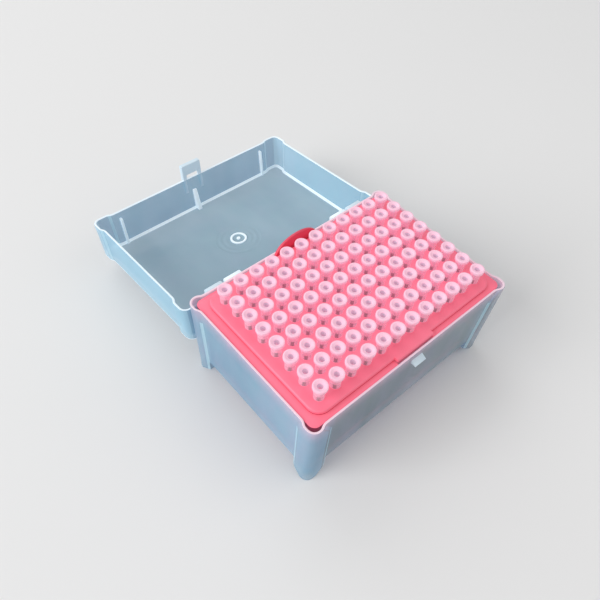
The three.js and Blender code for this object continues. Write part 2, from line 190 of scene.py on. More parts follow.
class Tree:
    """One material and the nodes that are added to it."""

    def __init__(self, name: str) -> None:
        """Starts an empty material.

        Args:
            name: The material's name.
        """
        self.material = bpy.data.materials.new(name)
        self.material.use_nodes = True
        self.nodes = self.material.node_tree.nodes
        self.links = self.material.node_tree.links
        self.nodes.clear()

    def node(self, kind: str, settings: dict | None = None, **values: Value) -> bpy.types.Node:
        """Adds a node.

        Args:
            kind: The node's type name.
            settings: Properties that are set before its sockets are filled.
            **values: What each input holds, by its name with "_" for each space, or by
                "in0", "in1" and so on for its place.

        Returns:
            The new node.
        """
        made = self.nodes.new(kind)
        for name, value in (settings or {}).items():
            setattr(made, name, value)
        for name, value in values.items():
            by_place = name[:2] == "in" and name[2:].isdigit()
            socket = made.inputs[int(name[2:]) if by_place else name.replace("_", " ")]
            if isinstance(value, Signal):
                self.links.new(value.socket, socket)
            else:
                socket.default_value = value
        return made

    def out(self, node: bpy.types.Node, name: str | int = 0) -> Signal:
        """One output of a node, as a signal."""
        return Signal(self, node.outputs[name])

    def math(self, operation: str, *values: Value) -> Signal:
        """The result of a Math node on these values."""
        inputs = {f"in{place}": value for place, value in enumerate(values)}
        return self.out(self.node("ShaderNodeMath", {"operation": operation}, **inputs))

    def mix(self, factor: Value, first: Value, second: Value) -> Signal:
        """A colour between two colours.

        Args:
            factor: 0 gives the first colour and 1 the second.
            first: A colour or a signal.
            second: A colour or a signal.

        Returns:
            The mixed colour.
        """
        ends = [end if isinstance(end, Signal) else (*end, 1.0) for end in (first, second)]
        settings = {"data_type": "RGBA"}
        made = self.node("ShaderNodeMix", settings, in0=factor, in6=ends[0], in7=ends[1])
        return self.out(made, 2)

    def position(self) -> Signal:
        """Where a point lies in the frame, in metres."""
        return self.out(self.node("ShaderNodeTexCoord"), "Object")

    def along(self, axis: str) -> Signal:
        """How far along one axis of the frame a point lies, in metres."""
        return self.out(self.node("ShaderNodeSeparateXYZ", in0=self.position()), axis)

    def noise(self, scale: float, detail: float = 2.0, stretch: Triple = (1, 1, 1)) -> Signal:
        """A smooth random value from 0 to 1 over space.

        Args:
            scale: Blobs per metre.
            detail: Octaves.
            stretch: Factors on the three coordinates, small where streaks run.

        Returns:
            The value.
        """
        mapped = self.out(self.node("ShaderNodeMapping", Vector=self.position(), Scale=stretch))
        return self.out(self.node("ShaderNodeTexNoise", Vector=mapped, Scale=scale, Detail=detail))

    def bump(self, height: Signal, depth: float) -> Signal:
        """A normal from a height field, where 1 stands for a depth in metres."""
        made = self.node("ShaderNodeBump", Height=height, Distance=depth, Strength=1.0)
        return self.out(made)

    def finish(self, **values: Value) -> bpy.types.Material:
        """Adds the surface shader and the output.

        Args:
            **values: The surface shader's inputs.

        Returns:
            The finished material.
        """
        surface = self.node("ShaderNodeBsdfPrincipled", **values)
        self.node("ShaderNodeOutputMaterial", Surface=self.out(surface))
        return self.material


# ---- Finishes ----


def tone(red: int, green: int, blue: int) -> Colour:
    """A screen colour from 0 to 255 as the linear light that shaders take."""
    return tuple(((part / 255 + 0.055) / 1.055) ** 2.4 for part in (red, green, blue))


@dataclass(frozen=True)
class FrostedShell:
    """Natural polypropylene with a fine frosted grain, as the tub and the lid are moulded in.

    The roughness is a base and what the clouds and the grain add to it. The legs of the latch
    shine through where they are set: the x of their inner and outer sides and their lowest z.
    """

    name: str
    gate: Triple
    rim: float
    deep: Colour
    pale: Colour
    # A painted pink of the coral rack's light, laid on the colour and the glow near the rim.
    blush: Colour = tone(206, 172, 190)
    blush_depth: float = 0.010
    blush_share: float = 0.30
    lilac: Colour = tone(178, 172, 204)
    lilac_share: float = 0.30
    contrast: float = 2.2
    alpha: float = 0.56
    # The glows are painted light: the plastic glows faintly though it is no lamp.
    glow: float = 0.15
    rim_glow: float = 0.45
    roughness: Triple = (0.30, 0.10, 0.06)
    cloud_scale: float = 22.0
    cloud_share: float = 0.6
    streak_scale: float = 60.0
    streak_stretch: Triple = (1.0, 0.25, 0.25)
    streak_share: float = 0.4
    veil_scale: float = 90.0
    veil_stretch: Triple = (1.0, 1.0, 0.35)
    grain_scale: float = 2600.0
    grain_share: float = 0.6
    relief: float = 0.00004
    ring_pitch: float = 0.0032
    ring_reach: float = 0.0135
    ring_relief: float = 2.2
    legs: Triple | None = None
    leg: Colour = tone(206, 228, 240)
    leg_share: float = 0.6
    leg_wall_y: float = 0.05

    def material(self) -> bpy.types.Material:
        """The material: slow clouds, flow streaks, grain, gate rings, and painted glow and rack
        light.

        Returns:
            The material.
        """
        tree = Tree(self.name)
        cloud = tree.noise(self.cloud_scale, detail=3.0)
        streaks = tree.noise(self.streak_scale, stretch=self.streak_stretch) * self.streak_share
        grain = tree.noise(self.grain_scale)
        patches = self._spread(cloud * self.cloud_share + streaks)
        veil = self._spread(tree.noise(self.veil_scale, stretch=self.veil_stretch))
        colour = tree.mix(patches, self.deep, self.pale)
        colour = tree.mix(veil * self.lilac_share, colour, self.lilac)
        # Near the rim, colour and glow take a painted pink of the coral rack's light.
        rack_light_mask = self._rack_light_mask(tree)
        colour = tree.mix(rack_light_mask, colour, self.blush)
        painted_glow_colour = tree.mix(self.glow / self.rim_glow, BLACK, colour)
        if self.legs:
            colour = tree.mix(self._between_legs(tree) * self.leg_share, colour, self.leg)
        base, by_cloud, by_grain = self.roughness
        skin = grain * self.grain_share + streaks + self._rings(tree)
        return tree.finish(
            Base_Color=colour,
            Roughness=base + cloud * by_cloud + grain * by_grain,
            Alpha=self.alpha,
            IOR=PLASTIC_IOR,
            Emission_Color=tree.mix(rack_light_mask, painted_glow_colour, self.blush),
            Emission_Strength=self.rim_glow,
            Normal=tree.bump(skin, self.relief),
        )

    def _spread(self, value: Signal) -> Signal:
        """A random value with more contrast about its middle."""
        return (value - 0.5) * self.contrast + 0.5

    def _rack_light_mask(self, tree: Tree) -> Signal:
        """How much painted pink of the coral rack's light lies on the wall, most at the rim."""
        fall = (self.rim - tree.along("Z")) / self.blush_depth
        return (1.0 - fall).clamped() * self.blush_share

    def _between_legs(self, tree: Tree) -> Signal:
        """Where the latch's two legs lie behind the wall and shine through it.

        Args:
            tree: The material's nodes.

        Returns:
            1 there, 0 elsewhere.
        """
        near, far, low = self.legs
        away = abs(tree.along("X"))
        above = (tree.along("Z") > low) * (tree.along("Y") > self.leg_wall_y)
        return (away > near) * (away < far) * above

    def _rings(self, tree: Tree) -> Signal:
        """The faint flow rings that spread from where the mould was filled.

        Args:
            tree: The material's nodes.

        Returns:
            Their height.
        """
        settings = {"operation": "DISTANCE"}
        apart = tree.node("ShaderNodeVectorMath", settings, in0=tree.position(), in1=self.gate)
        away = tree.out(apart, "Value")
        wave = tree.math("SINE", away * (2 * math.pi / self.ring_pitch))
        return wave * (away < self.ring_reach) * self.ring_relief


@dataclass(frozen=True)
class BrightEdge:
    """The same plastic where it is seen edge on: rims, ribs, fillets and knuckles gather light,
    given as a painted highlight.
    """

    name: str = "bright_edge"
    deep: Colour = tone(218, 236, 246)
    pale: Colour = tone(242, 249, 253)
    alpha: float = 0.92
    # A painted glow, as painted light.
    glow: float = 0.20
    roughness: Pair = (0.28, 0.12)
    cloud_scale: float = 45.0
    grain_scale: float = 2600.0
    relief: float = 0.00002

    def material(self) -> bpy.types.Material:
        """The material, clouded between its two colours.

        Returns:
            The material.
        """
        tree = Tree(self.name)
        cloud = tree.noise(self.cloud_scale)
        colour = tree.mix(self._share(tree, cloud), self.deep, self.pale)
        base, by_cloud = self.roughness
        return tree.finish(
            Base_Color=colour,
            Roughness=base + cloud * by_cloud,
            Alpha=self.alpha,
            IOR=PLASTIC_IOR,
            Emission_Color=colour,
            Emission_Strength=self.glow,
            Normal=tree.bump(tree.noise(self.grain_scale, detail=1.0), self.relief),
        )

    def _share(self, tree: Tree, cloud: Signal) -> Signal:
        """How much of the pale colour a point has."""
        return cloud


@dataclass(frozen=True)
class CoralPlastic:
    """The rack's opaque coral red plastic, with a painted shade in the corner where its deck steps
    down.

    The field is where the tips stand and where a painted glow of their light lies on the deck:
    the x and y of its middle and its two half lengths.
    """

    step: float
    step_height: float
    middle: Pair
    reach: Pair
    name: str = "coral_rack"
    deep: Colour = tone(248, 106, 132)
    pale: Colour = tone(255, 132, 156)
    shade: Colour = tone(184, 30, 62)
    shade_fall: float = 0.6
    lit: Colour = tone(255, 170, 198)
    # Painted glows: faint all over, and stronger over the field of tips.
    glow: float = 0.12
    lit_glow: float = 0.26
    fade: float = 0.005
    roughness: Triple = (0.36, 0.10, 0.08)
    cloud_scale: float = 30.0
    grain_scale: float = 1800.0
    relief: float = 0.00003

    def material(self) -> bpy.types.Material:
        """The material, with a satin moulded skin.

        Returns:
            The material.
        """
        tree = Tree(self.name)
        cloud = tree.noise(self.cloud_scale, detail=3.0)
        grain = tree.noise(self.grain_scale)
        rise = (tree.along("Z") - self.step) / self.step_height
        # The lower part of the deck's step is painted darker, as painted shade in the crease.
        crease_shade = (rise < 1.0) * (rise > 0.0) * (1.0 - rise * self.shade_fall)
        colour = tree.mix(crease_shade, tree.mix(cloud, self.deep, self.pale), self.shade)
        painted_glow_colour = tree.mix(self.glow / self.lit_glow, BLACK, colour)
        base, by_cloud, by_grain = self.roughness
        return tree.finish(
            Base_Color=colour,
            Roughness=base + cloud * by_cloud + grain * by_grain,
            IOR=PLASTIC_IOR,
            # Over the field of tips the deck glows with a painted light.
            Emission_Color=tree.mix(self._tip_light_mask(tree), painted_glow_colour, self.lit),
            Emission_Strength=self.lit_glow,
            Normal=tree.bump(grain, self.relief),
        )

    def _tip_light_mask(self, tree: Tree) -> Signal:
        """Where the tips stand, whose clear walls pass light on to the deck, given as a painted
        glow.

        Args:
            tree: The material's nodes.

        Returns:
            1 there, fading to 0 outside.
        """
        inside = [
            ((half - abs(tree.along(axis) - middle)) / self.fade).clamped()
            for axis, middle, half in zip("XY", self.middle, self.reach)
        ]
        return inside[0] * inside[1]


@dataclass(frozen=True)
class TipFilm(BrightEdge):
    """A thin clear face of a tip, whose colour changes from its seat to its head; a pinker seat is
    a painted tint of the coral deck's light.
    """

    seat: float = 0.0
    head: float = 1.0
    roughness: Pair = (0.20, 0.14)
    cloud_scale: float = 160.0
    cloud_share: float = 0.3
    grain_scale: float = 2400.0

    def _share(self, tree: Tree, cloud: Signal) -> Signal:
        """0 at the tip's seat and 1 at its head, faintly clouded."""
        rise = (tree.along("Z") - self.seat) / self.head
        return (rise + (cloud - 0.5) * self.cloud_share).clamped()


@dataclass(frozen=True)
class PaleFloor:
    """The plain pale floor under the object."""

    name: str = "pale_floor"
    colour: Colour = (0.82, 0.82, 0.82)
    darkest: float = 0.98
    speck_scale: float = 3.0
    roughness: float = 0.9

    def material(self) -> bpy.types.Material:
        """A dull, even material.

        Returns:
            The material.
        """
        tree = Tree(self.name)
        darker = tuple(self.darkest * part for part in self.colour)
        colour = tree.mix(tree.noise(self.speck_scale), darker, self.colour)
        return tree.finish(Base_Color=colour, Roughness=self.roughness)


Finish = FrostedShell | BrightEdge | CoralPlastic


def tinted(base: Finish, name: str, deep: Colour, pale: Colour, **changes: Value) -> Finish:
    """The same finish under another name, in other colours and with any other changes."""
    return replace(base, name=name, deep=deep, pale=pale, **changes)


# ---- Mesh building ----


def add_object(name: str, data: bpy.types.ID) -> bpy.types.Object:
    """Puts a new object in the scene.

    Args:
        name: Its name.
        data: Its mesh, lamp or camera.

    Returns:
        The object.
    """
    made = bpy.data.objects.new(name, data)
    bpy.context.scene.collection.objects.link(made)
    return made


def new_piece(
    name: str,
    mesh: BMesh,
    coats: Sequence[bpy.types.Material],
    place: Matrix,
    smooth_limit: float = 38.0,
) -> bpy.types.Object:
    """Turns a mesh in millimetres into a piece in the frame.

    Args:
        name: The piece's name.
        mesh: Its mesh, which is freed.
        coats: Its materials, in the order of its slots.
        place: The move from drawing place to frame, in millimetres.
        smooth_limit: The angle in degrees above which an edge is shaded as sharp.

    Returns:
        The piece.
    """
    bmesh.ops.remove_doubles(mesh, verts=mesh.verts[:], dist=SAME_SPOT)
    bmesh.ops.transform(mesh, matrix=Matrix.Scale(MM, 4) @ place, verts=mesh.verts[:])
    mesh.normal_update()
    sharp = set(sharp_edges(mesh, smooth_limit))
    for face in mesh.faces:
        face.smooth = True
    for edge in mesh.edges:
        edge.smooth = edge not in sharp
    data = bpy.data.meshes.new(name)
    mesh.to_mesh(data)
    mesh.free()
    for coat in coats:
        data.materials.append(coat)
    return add_object(name, data)


def outward(mesh: BMesh) -> None:
    """Makes all faces of closed solids point outwards."""
    bmesh.ops.recalc_face_normals(mesh, faces=mesh.faces[:])


def join(target: BMesh, *others: BMesh) -> None:
    """Adds other meshes to a mesh and frees them.

    Args:
        target: The mesh that is added to.
        *others: The meshes that are added.
    """
    for other in others:
        data = bpy.data.meshes.new("joined")
        other.to_mesh(data)
        target.from_mesh(data)
        bpy.data.meshes.remove(data)
        other.free()


def soften(
    mesh: BMesh, parts: Iterable, radius: float, segments: int = 2, affect: str = "EDGES"
) -> None:
    """Rounds edges, or the corners of a flat face.

    Args:
        mesh: The mesh.
        parts: The edges or corners.
        radius: The width of the round, in millimetres.
        segments: How many faces or edges go round it.
        affect: "EDGES" or "VERTICES".
    """
    bmesh.ops.bevel(
        mesh,
        geom=list(parts),
        offset=radius,
        offset_type="OFFSET",
        affect=affect,
        segments=segments,
        profile=0.5,
        material=-1,
        clamp_overlap=affect == "EDGES",
    )


def sharp_edges(mesh: BMesh, limit: float = 40.0) -> list[BMEdge]:
    """The edges whose faces meet at more than the limit in degrees."""
    angle = math.radians(limit)
    return [e for e in mesh.edges if len(e.link_faces) == 2 and e.calc_face_angle(0) > angle]


def extruded(mesh: BMesh, faces: Sequence[BMFace]) -> tuple[list[BMVert], list[BMFace]]:
    """Extrudes faces without moving them.

    Args:
        mesh: The mesh.
        faces: The faces.

    Returns:
        The new corners and the new faces.
    """
    grown = bmesh.ops.extrude_face_region(mesh, geom=list(faces))["geom"]
    return [v for v in grown if isinstance(v, BMVert)], [f for f in grown if isinstance(f, BMFace)]


def drawn_on(mesh: BMesh, edges: Sequence[BMEdge]) -> tuple[list[BMVert], list[BMEdge]]:
    """Extrudes a row of edges without moving them.

    Args:
        mesh: The mesh.
        edges: The edges.

    Returns:
        The new corners and the new free edges.
    """
    grown = bmesh.ops.extrude_edge_only(mesh, edges=list(edges))["geom"]
    free = [e for e in grown if isinstance(e, BMEdge) and len(e.link_faces) == 1]
    return [v for v in grown if isinstance(v, BMVert)], free


def profile_x(points: Outline, start: float, end: float, radius: float) -> BMesh:
    """An outline in the YZ plane, carried along X.

    Args:
        points: The (y, z) corners of the outline.
        start: Its lowest x.
        end: Its highest x.
        radius: The round of its edges.

    Returns:
        Its mesh.
    """
    mesh = bmesh.new()
    face = mesh.faces.new([mesh.verts.new((start, y, z)) for y, z in points])
    moved, _ = extruded(mesh, [face])
    bmesh.ops.translate(mesh, vec=(end - start, 0, 0), verts=moved)
    outward(mesh)
    soften(mesh, mesh.edges, radius)
    return mesh


def spun(profile: Outline, steps: int, closed: bool) -> BMesh:
    """Turns a profile about the Z axis into a closed solid.

    Args:
        profile: The (radius, z) corners of the profile.
        steps: How many faces go round.
        closed: Whether the last corner joins the first; else both lie on the axis.

    Returns:
        Its mesh.
    """
    mesh = bmesh.new()
    verts = [mesh.verts.new((radius, 0.0, z)) for radius, z in profile]
    pairs = list(zip(verts, verts[1:]))
    if closed:
        pairs.append((verts[-1], verts[0]))
    bmesh.ops.spin(
        mesh,
        geom=verts + [mesh.edges.new(pair) for pair in pairs],
        cent=(0, 0, 0),
        axis=(0, 0, 1),
        dvec=(0, 0, 0),
        angle=2 * math.pi,
        steps=steps,
        use_merge=True,
        use_duplicate=False,
    )
    bmesh.ops.remove_doubles(mesh, verts=mesh.verts[:], dist=SAME_SPOT)
    outward(mesh)
    return mesh


def hanging_ring(
    z: float, radius: float, drop: float, bevel: float, steps: int, hole: float = 0.0
) -> BMesh:
    """A low disc or ring on the Z axis that hangs from a level face.

    Args:
        z: The face's height.
        radius: The ring's outer radius.
        drop: How far it hangs down.
        bevel: The bevel of its lower edges.
        steps: How many faces go round.
        hole: Its inner radius, or 0 for a disc.

    Returns:
        Its mesh.
    """
    low, top = z - drop, z + RING_ROOT
    edge = [(radius, top), (radius, low + bevel), (radius - bevel, low)]
    if hole:
        inner = [(hole, top), (hole, low + bevel), (hole + bevel, low)]
        return spun(inner + edge[::-1], steps, closed=True)
    return spun([(0.0, top), *edge, (0.0, low)], steps, closed=False)


def cut(
    mesh: BMesh, point: Triple, normal: Triple, part: list | None = None, one_side: bool = False
) -> None:
    """Adds the edges in which a plane crosses a mesh.

    Args:
        mesh: The mesh.
        point: A point of the plane.
        normal: The plane's normal.
        part: The corners, edges and faces that are cut, or None for all.
        one_side: Whether what lies behind the plane goes away.
    """
    geom = part or mesh.verts[:] + mesh.edges[:] + mesh.faces[:]
    bmesh.ops.bisect_plane(
        mesh, geom=geom, dist=ON_PLANE, plane_co=point, plane_no=normal, clear_inner=one_side
    )


def take_away(mesh: BMesh, unwanted: Callable[[Vector], bool]) -> None:
    """Deletes the faces whose middles are where the test says."""
    gone = [f for f in mesh.faces if unwanted(f.calc_center_median())]
    bmesh.ops.delete(mesh, geom=gone, context="FACES")


def inset(mesh: BMesh, faces: Sequence[BMFace], across: float, along: float) -> list[BMFace]:
    """Insets faces and moves them along their normals.

    Args:
        mesh: The mesh.
        faces: The faces, which shrink.
        across: The width of the ring that grows round them.
        along: How far they move, negative for inwards.

    Returns:
        The ring's faces.
    """
    return bmesh.ops.inset_region(
        mesh,
        faces=list(faces),
        thickness=across,
        depth=along,
        use_boundary=True,
        use_even_offset=True,
    )["faces"]


def turned(
    mesh: BMesh, faces: Sequence[BMFace], radius: float, way: int, turn: Turn, steps: int = 3
) -> list[BMFace]:
    """Rounds the edge of faces by insetting them along a quarter circle.

    Args:
        mesh: The mesh.
        faces: The faces, which shrink and move.
        radius: The quarter circle's radius.
        way: 1 where the faces move out along their normals, -1 where they move in.
        turn: Whether the quarter circle starts along the wall or along the flat.
        steps: How many rings go round it.

    Returns:
        The rings' faces.
    """
    rings: list[BMFace] = []
    for late, early in quarter_steps(radius, steps):
        across, along = (late, early) if turn is Turn.WALL_TO_FLAT else (early, late)
        rings += inset(mesh, faces, across, way * along)
    return rings


def quarter_steps(radius: float, steps: int) -> list[Pair]:
    """The steps of a quarter circle.

    Args:
        radius: Its radius.
        steps: How many there are.

    Returns:
        How far each step goes along the direction that comes late, and along the one that
        comes early.
    """
    found = []
    for step in range(steps):
        near, far = (math.pi / 2 * part / steps for part in (step, step + 1))
        late = radius * (math.cos(near) - math.cos(far))
        found.append((late, radius * (math.sin(far) - math.sin(near))))
    return found


def paint(faces: Iterable[BMFace], coat: Enum) -> None:
    """Gives faces one of their piece's materials."""
    for face in faces:
        face.material_index = coat.value


def painted(meshes: list[BMesh], coat: Enum) -> list[BMesh]:
    """Gives whole meshes one of their piece's materials and hands them back."""
    paint((face for mesh in meshes for face in mesh.faces), coat)
    return meshes


def faces_axis(face: BMFace) -> bool:
    """Whether a face looks towards the Z axis."""
    centre = face.calc_center_median()
    return face.normal.dot(Vector((centre.x, centre.y, 0))) < 0


def onto_rounded(x: float, y: float, half_x: float, half_y: float, radius: float) -> Pair:
    """The nearest point of a rounded rectangle's outline.

    Args:
        x: The point's x.
        y: The point's y.
        half_x: The rectangle's half length.
        half_y: Its half width.
        radius: The round of its corners.

    Returns:
        The x and y of the point on the outline.
    """
    core_x, core_y = half_x - radius, half_y - radius
    near = Vector((max(-core_x, min(core_x, x)), max(-core_y, min(core_y, y))))
    away = Vector((x, y)) - near
    if not away.length:
        away = Vector((0, 1 if y > 0 else -1))
    spot = near + away.normalized() * radius
    return spot.x, spot.y


# ---- The posted shell that the tub and the lid share ----


@dataclass
class PostedShell:
    """A rectangular shell with draught, whose corners stand proud of its walls as posts.

    The half sizes are those of the walls' outsides at the rim, and the post sizes are how far
    from the middle the posts begin. Where a shell widens, its posts reach further in below.
    """

    half_x: float
    half_y: float
    post_x: float
    post_y: float
    bulge: float = 1.3
    slope: float = 2.1
    radius: float = 4.3
    wall: float = 1.2
    draft: float = 0.027
    widen_x: float = 0.0
    widen_y: float = 0.0
    corner_segments: int = 10
    slope_round: float = 1.0
    slope_segments: int = 3
    rim_round: float = 0.32
    shortest_edge: float = 0.2
    slant: float = 0.3

    def plan(self, mesh: BMesh, z: float) -> BMFace:
        """Draws the outline at the rim as one face that looks up.

        Args:
            mesh: The mesh that it is drawn in.
            z: Its height.

        Returns:
            The face.
        """
        far_x, far_y = self.half_x + self.bulge, self.half_y + self.bulge
        corner = [
            (self.half_x, self.post_y),
            (far_x, self.post_y + self.slope),
            (far_x, far_y),
            (self.post_x + self.slope, far_y),
            (self.post_x, self.half_y),
        ]
        ring = (
            corner
            + [(-x, y) for x, y in reversed(corner)]
            + [(-x, -y) for x, y in corner]
            + [(x, -y) for x, y in reversed(corner)]
        )
        verts = [mesh.verts.new((x, y, z)) for x, y in ring]
        mesh.faces.new(verts)
        tips = verts[2::5]
        ends = [v for v in verts if v not in tips]
        soften(mesh, tips, self.radius, self.corner_segments, "VERTICES")
        soften(mesh, ends, self.slope_round, self.slope_segments, "VERTICES")
        mesh.faces.ensure_lookup_table()
        face = mesh.faces[0]
        face.normal_update()
        if face.normal.z < 0:
            face.normal_flip()
        return face

    def block(self, mesh: BMesh, z: float, rise: float) -> tuple[BMFace, BMFace]:
        """Makes the outside as a closed block.

        Args:
            mesh: The mesh that it is made in.
            z: The height of the rim's end.
            rise: How far the other end is from it, negative for down.

        Returns:
            The face at the rim and the face at the other end.
        """
        rim = self.plan(mesh, z)
        verts, ends = extruded(mesh, [rim])
        self._widen(verts)
        self._draw_in(mesh, verts, z + rise, abs(rise))
        outward(mesh)
        return rim, ends[0]

    def carry(
        self, mesh: BMesh, faces: Sequence[BMFace], rise: float, widening: bool = False
    ) -> list[BMFace]:
        """Carries level faces up or down along the draughted walls.

        Args:
            mesh: The mesh.
            faces: The faces.
            rise: How far they go, negative for down.
            widening: Whether the posts get wider on the way.

        Returns:
            The faces at their new height.
        """
        z = faces[0].calc_center_median().z
        verts, ends = self._lengthened(mesh, faces)
        if widening:
            self._widen(verts)
        self._draw_in(mesh, verts, z + rise, abs(rise))
        return ends

    @staticmethod
    def _lengthened(mesh: BMesh, faces: Sequence[BMFace]) -> tuple[list[BMVert], list[BMFace]]:
        """Extrudes faces and takes the old ones away, so that the walls run on.

        Args:
            mesh: The mesh.
            faces: The faces.

        Returns:
            The new corners and the new faces.
        """
        verts, ends = extruded(mesh, faces)
        old = [f for f in faces if f.is_valid]
        bmesh.ops.delete(mesh, geom=old, context="FACES_ONLY")
        return verts, ends

    def _widen(self, verts: Iterable[BMVert]) -> None:
        """Moves the posts' slopes towards the middle of their walls.

        Args:
            verts: The corners of an outline.
        """
        corner = self.bulge - self.radius - self.shortest_edge
        for vert in verts:
            x, y = vert.co.x, vert.co.y
            if abs(x) < self.half_x + corner:
                vert.co.x -= math.copysign(self.widen_x, x)
            if abs(y) < self.half_y + corner:
                vert.co.y -= math.copysign(self.widen_y, y)

    def _draw_in(self, mesh: BMesh, verts: Sequence[BMVert], z: float, run: float) -> None:
        """Levels an outline at a height and moves it in as far as the draught asks.

        Args:
            mesh: The mesh.
            verts: The outline's corners.
            z: The height.
            run: How long the wall that leads there is.
        """
        lean = self.draft * run
        shrink = (1 - lean / self.half_x, 1 - lean / self.half_y, 0)
        bmesh.ops.scale(mesh, vec=shrink, verts=verts)
        bmesh.ops.translate(mesh, vec=(0, 0, z), verts=verts)

    def slopes(self, mesh: BMesh) -> list[BMFace]:
        """Finds the upright faces that lead from the walls out to the corner posts.

        Args:
            mesh: The mesh.

        Returns:
            The faces.
        """
        found = []
        for face in mesh.faces:
            x, y = (abs(part) for part in face.calc_center_median().xy)
            off_corner = x < self.half_x - self.radius or y < self.half_y - self.radius
            if off_corner and min(abs(face.normal.x), abs(face.normal.y)) > self.slant:
                found.append(face)
        return found

    def rim(self, mesh: BMesh, face: BMFace) -> list[BMFace]:
        """Makes a rounded rim as thick as the wall, and shrinks its face to what is inside.

        Args:
            mesh: The mesh.
            face: The face at the rim, one rounding short of the rim's height.

        Returns:
            The faces of its top and of its round inside.
        """
        outer = turned(mesh, [face], self.rim_round, 1, Turn.WALL_TO_FLAT)
        flat = inset(mesh, [face], self.wall - 2 * self.rim_round, 0.0)
        last_third = outer[2 * len(outer) // 3 :]
        return last_third + flat + turned(mesh, [face], self.rim_round, -1, Turn.FLAT_TO_WALL)

    def trim(
        self, mesh: BMesh, faces: Sequence[BMFace], x: float, y: float, drop: float
    ) -> list[BMFace]:
        """Carries the faces in the four corners down while their inner ends come out to a line.

        Args:
            mesh: The mesh.
            faces: The faces.
            x: How far from the middle their inner ends are along X afterwards.
            y: The same along Y.
            drop: How far the faces go down.

        Returns:
            The faces at their new height.
        """
        verts, _ = self._lengthened(mesh, faces)
        bmesh.ops.translate(mesh, vec=(0, 0, -drop), verts=verts)
        z = verts[0].co.z
        for vert in verts:
            vert.co.x = math.copysign(max(abs(vert.co.x), x), vert.co.x)
            vert.co.y = math.copysign(max(abs(vert.co.y), y), vert.co.y)
        bmesh.ops.remove_doubles(mesh, verts=verts, dist=self.shortest_edge)
        return self._level(mesh, z)

    def round_off(self, mesh: BMesh, faces: Sequence[BMFace], radius: float, steps: int) -> None:
        """Carries the faces in the four corners down round a quarter circle, into rounded ends.

        Args:
            mesh: The mesh.
            faces: The faces.
            radius: The quarter circle's radius.
            steps: How many steps it has.
        """
        for across, drop in quarter_steps(radius, steps):
            verts, faces = self._lengthened(mesh, faces)
            bmesh.ops.translate(mesh, vec=(0, 0, -drop), verts=verts)
            for side_x, side_y in product(Side, repeat=2):
                sides = (side_x.value, side_y.value)
                foot = [v for v in verts if min(a * b for a, b in zip(v.co, sides)) > 0]
                near = Vector([min(v.co[axis] for v in foot) for axis in range(3)])
                far = Vector([max(v.co[axis] for v in foot) for axis in range(3)])
                size, middle = far - near, (near + far) / 2
                shrink = (1 - 2 * across / size.x, 1 - 2 * across / size.y, 1)
                bmesh.ops.scale(mesh, vec=shrink, space=Matrix.Translation(-middle), verts=foot)

    def corners(self, mesh: BMesh, z: float, x: float, y: float) -> list[BMFace]:
        """Cuts the level face at a height along X and Y, on both sides of the middle.

        Args:
            mesh: The mesh.
            z: The height.
            x: Where the two cuts across X are.
            y: Where the two cuts across Y are.

        Returns:
            The faces in the four corners.
        """
        for point, normal in (((x, 0, 0), (1, 0, 0)), ((0, y, 0), (0, 1, 0))):
            for sign in (1, -1):
                # Keys of a dict keep their order, so every run merges the same corners.
                level = self._level(mesh, z)
                parts = dict.fromkeys(part for f in level for part in (f, *f.edges, *f.verts))
                cut(mesh, tuple(sign * axis for axis in point), normal, list(parts))
        close = dict.fromkeys(v for f in self._level(mesh, z) for v in f.verts)
        bmesh.ops.remove_doubles(mesh, verts=list(close), dist=self.shortest_edge)
        found = []
        for face in self._level(mesh, z):
            centre = face.calc_center_median()
            if abs(centre.x) > x and abs(centre.y) > y:
                found.append(face)
        return found

    @staticmethod
    def _level(mesh: BMesh, z: float) -> list[BMFace]:
        """The faces that lie flat at a height."""
        return [f for f in mesh.faces if all(abs(v.co.z - z) < SAME_LEVEL for v in f.verts)]


# ---- Tub ----


@dataclass
class Hinge:
    """Where the hinge is, how its knuckles lie along it and how they are rounded."""

    y: float = 45.1
    z: float = 44.0
    spread: float = 80.8
    length: float = 9.0
    play: float = 2.2
    radius: float = 2.7
    knuckle_round: float = 0.25
    pin: float = 1.2
    pin_round: float = 0.15
    pin_grip: float = 1.0
    web_inset: float = 0.3
    web_round: float = 0.2
    web_lap: float = 0.1

    def inner(self, side: Side) -> Pair:
        """The lid's knuckle of one side, from its lowest to its highest x."""
        end = (self.spread - self.play) / 2
        return self._span(side, end - self.length, end)

    def outer(self, side: Side) -> Pair:
        """The tub's knuckle of one side, from its lowest to its highest x."""
        start = (self.spread + self.play) / 2
        return self._span(side, start, start + self.length)

    def pin_span(self, side: Side) -> Pair:
        """The pin of one side, from its lowest to its highest x."""
        start = (self.spread - self.play) / 2 - self.pin_grip
        return self._span(side, start, start + self.play + self.length)

    @staticmethod
    def _span(side: Side, near: float, far: float) -> Pair:
        """Two distances from the middle, as x on one side in rising order."""
        return (near, far) if side is Side.RIGHT else (-far, -near)

    def rod(self, radius: float, span: Pair, edge: float) -> BMesh:
        """A round rod along the hinge's axis.

        Args:
            radius: Its radius.
            span: Its lowest and its highest x.
            edge: The round of its ends.

        Returns:
            Its mesh.
        """
        mesh, (start, end) = bmesh.new(), span
        bmesh.ops.create_cone(
            mesh, cap_ends=True, segments=32, radius1=radius, radius2=radius, depth=end - start
        )
        soften(mesh, sharp_edges(mesh), edge)
        along_x = Matrix.Rotation(math.pi / 2, 3, "Y")
        bmesh.ops.rotate(mesh, cent=(0, 0, 0), matrix=along_x, verts=mesh.verts[:])
        bmesh.ops.translate(mesh, vec=((start + end) / 2, self.y, self.z), verts=mesh.verts[:])
        return mesh

    def knuckle(self, span: Pair, web: Outline) -> list[BMesh]:
        """A knuckle with the web that holds it to its wall.

        Args:
            span: Its lowest and its highest x.
            web: The web's (y, z) corners.

        Returns:
            Their meshes.
        """
        start, end = span[0] + self.web_inset, span[1] - self.web_inset
        barrel = self.rod(self.radius, span, self.knuckle_round)
        return [barrel, profile_x(web, start, end, self.web_round)]


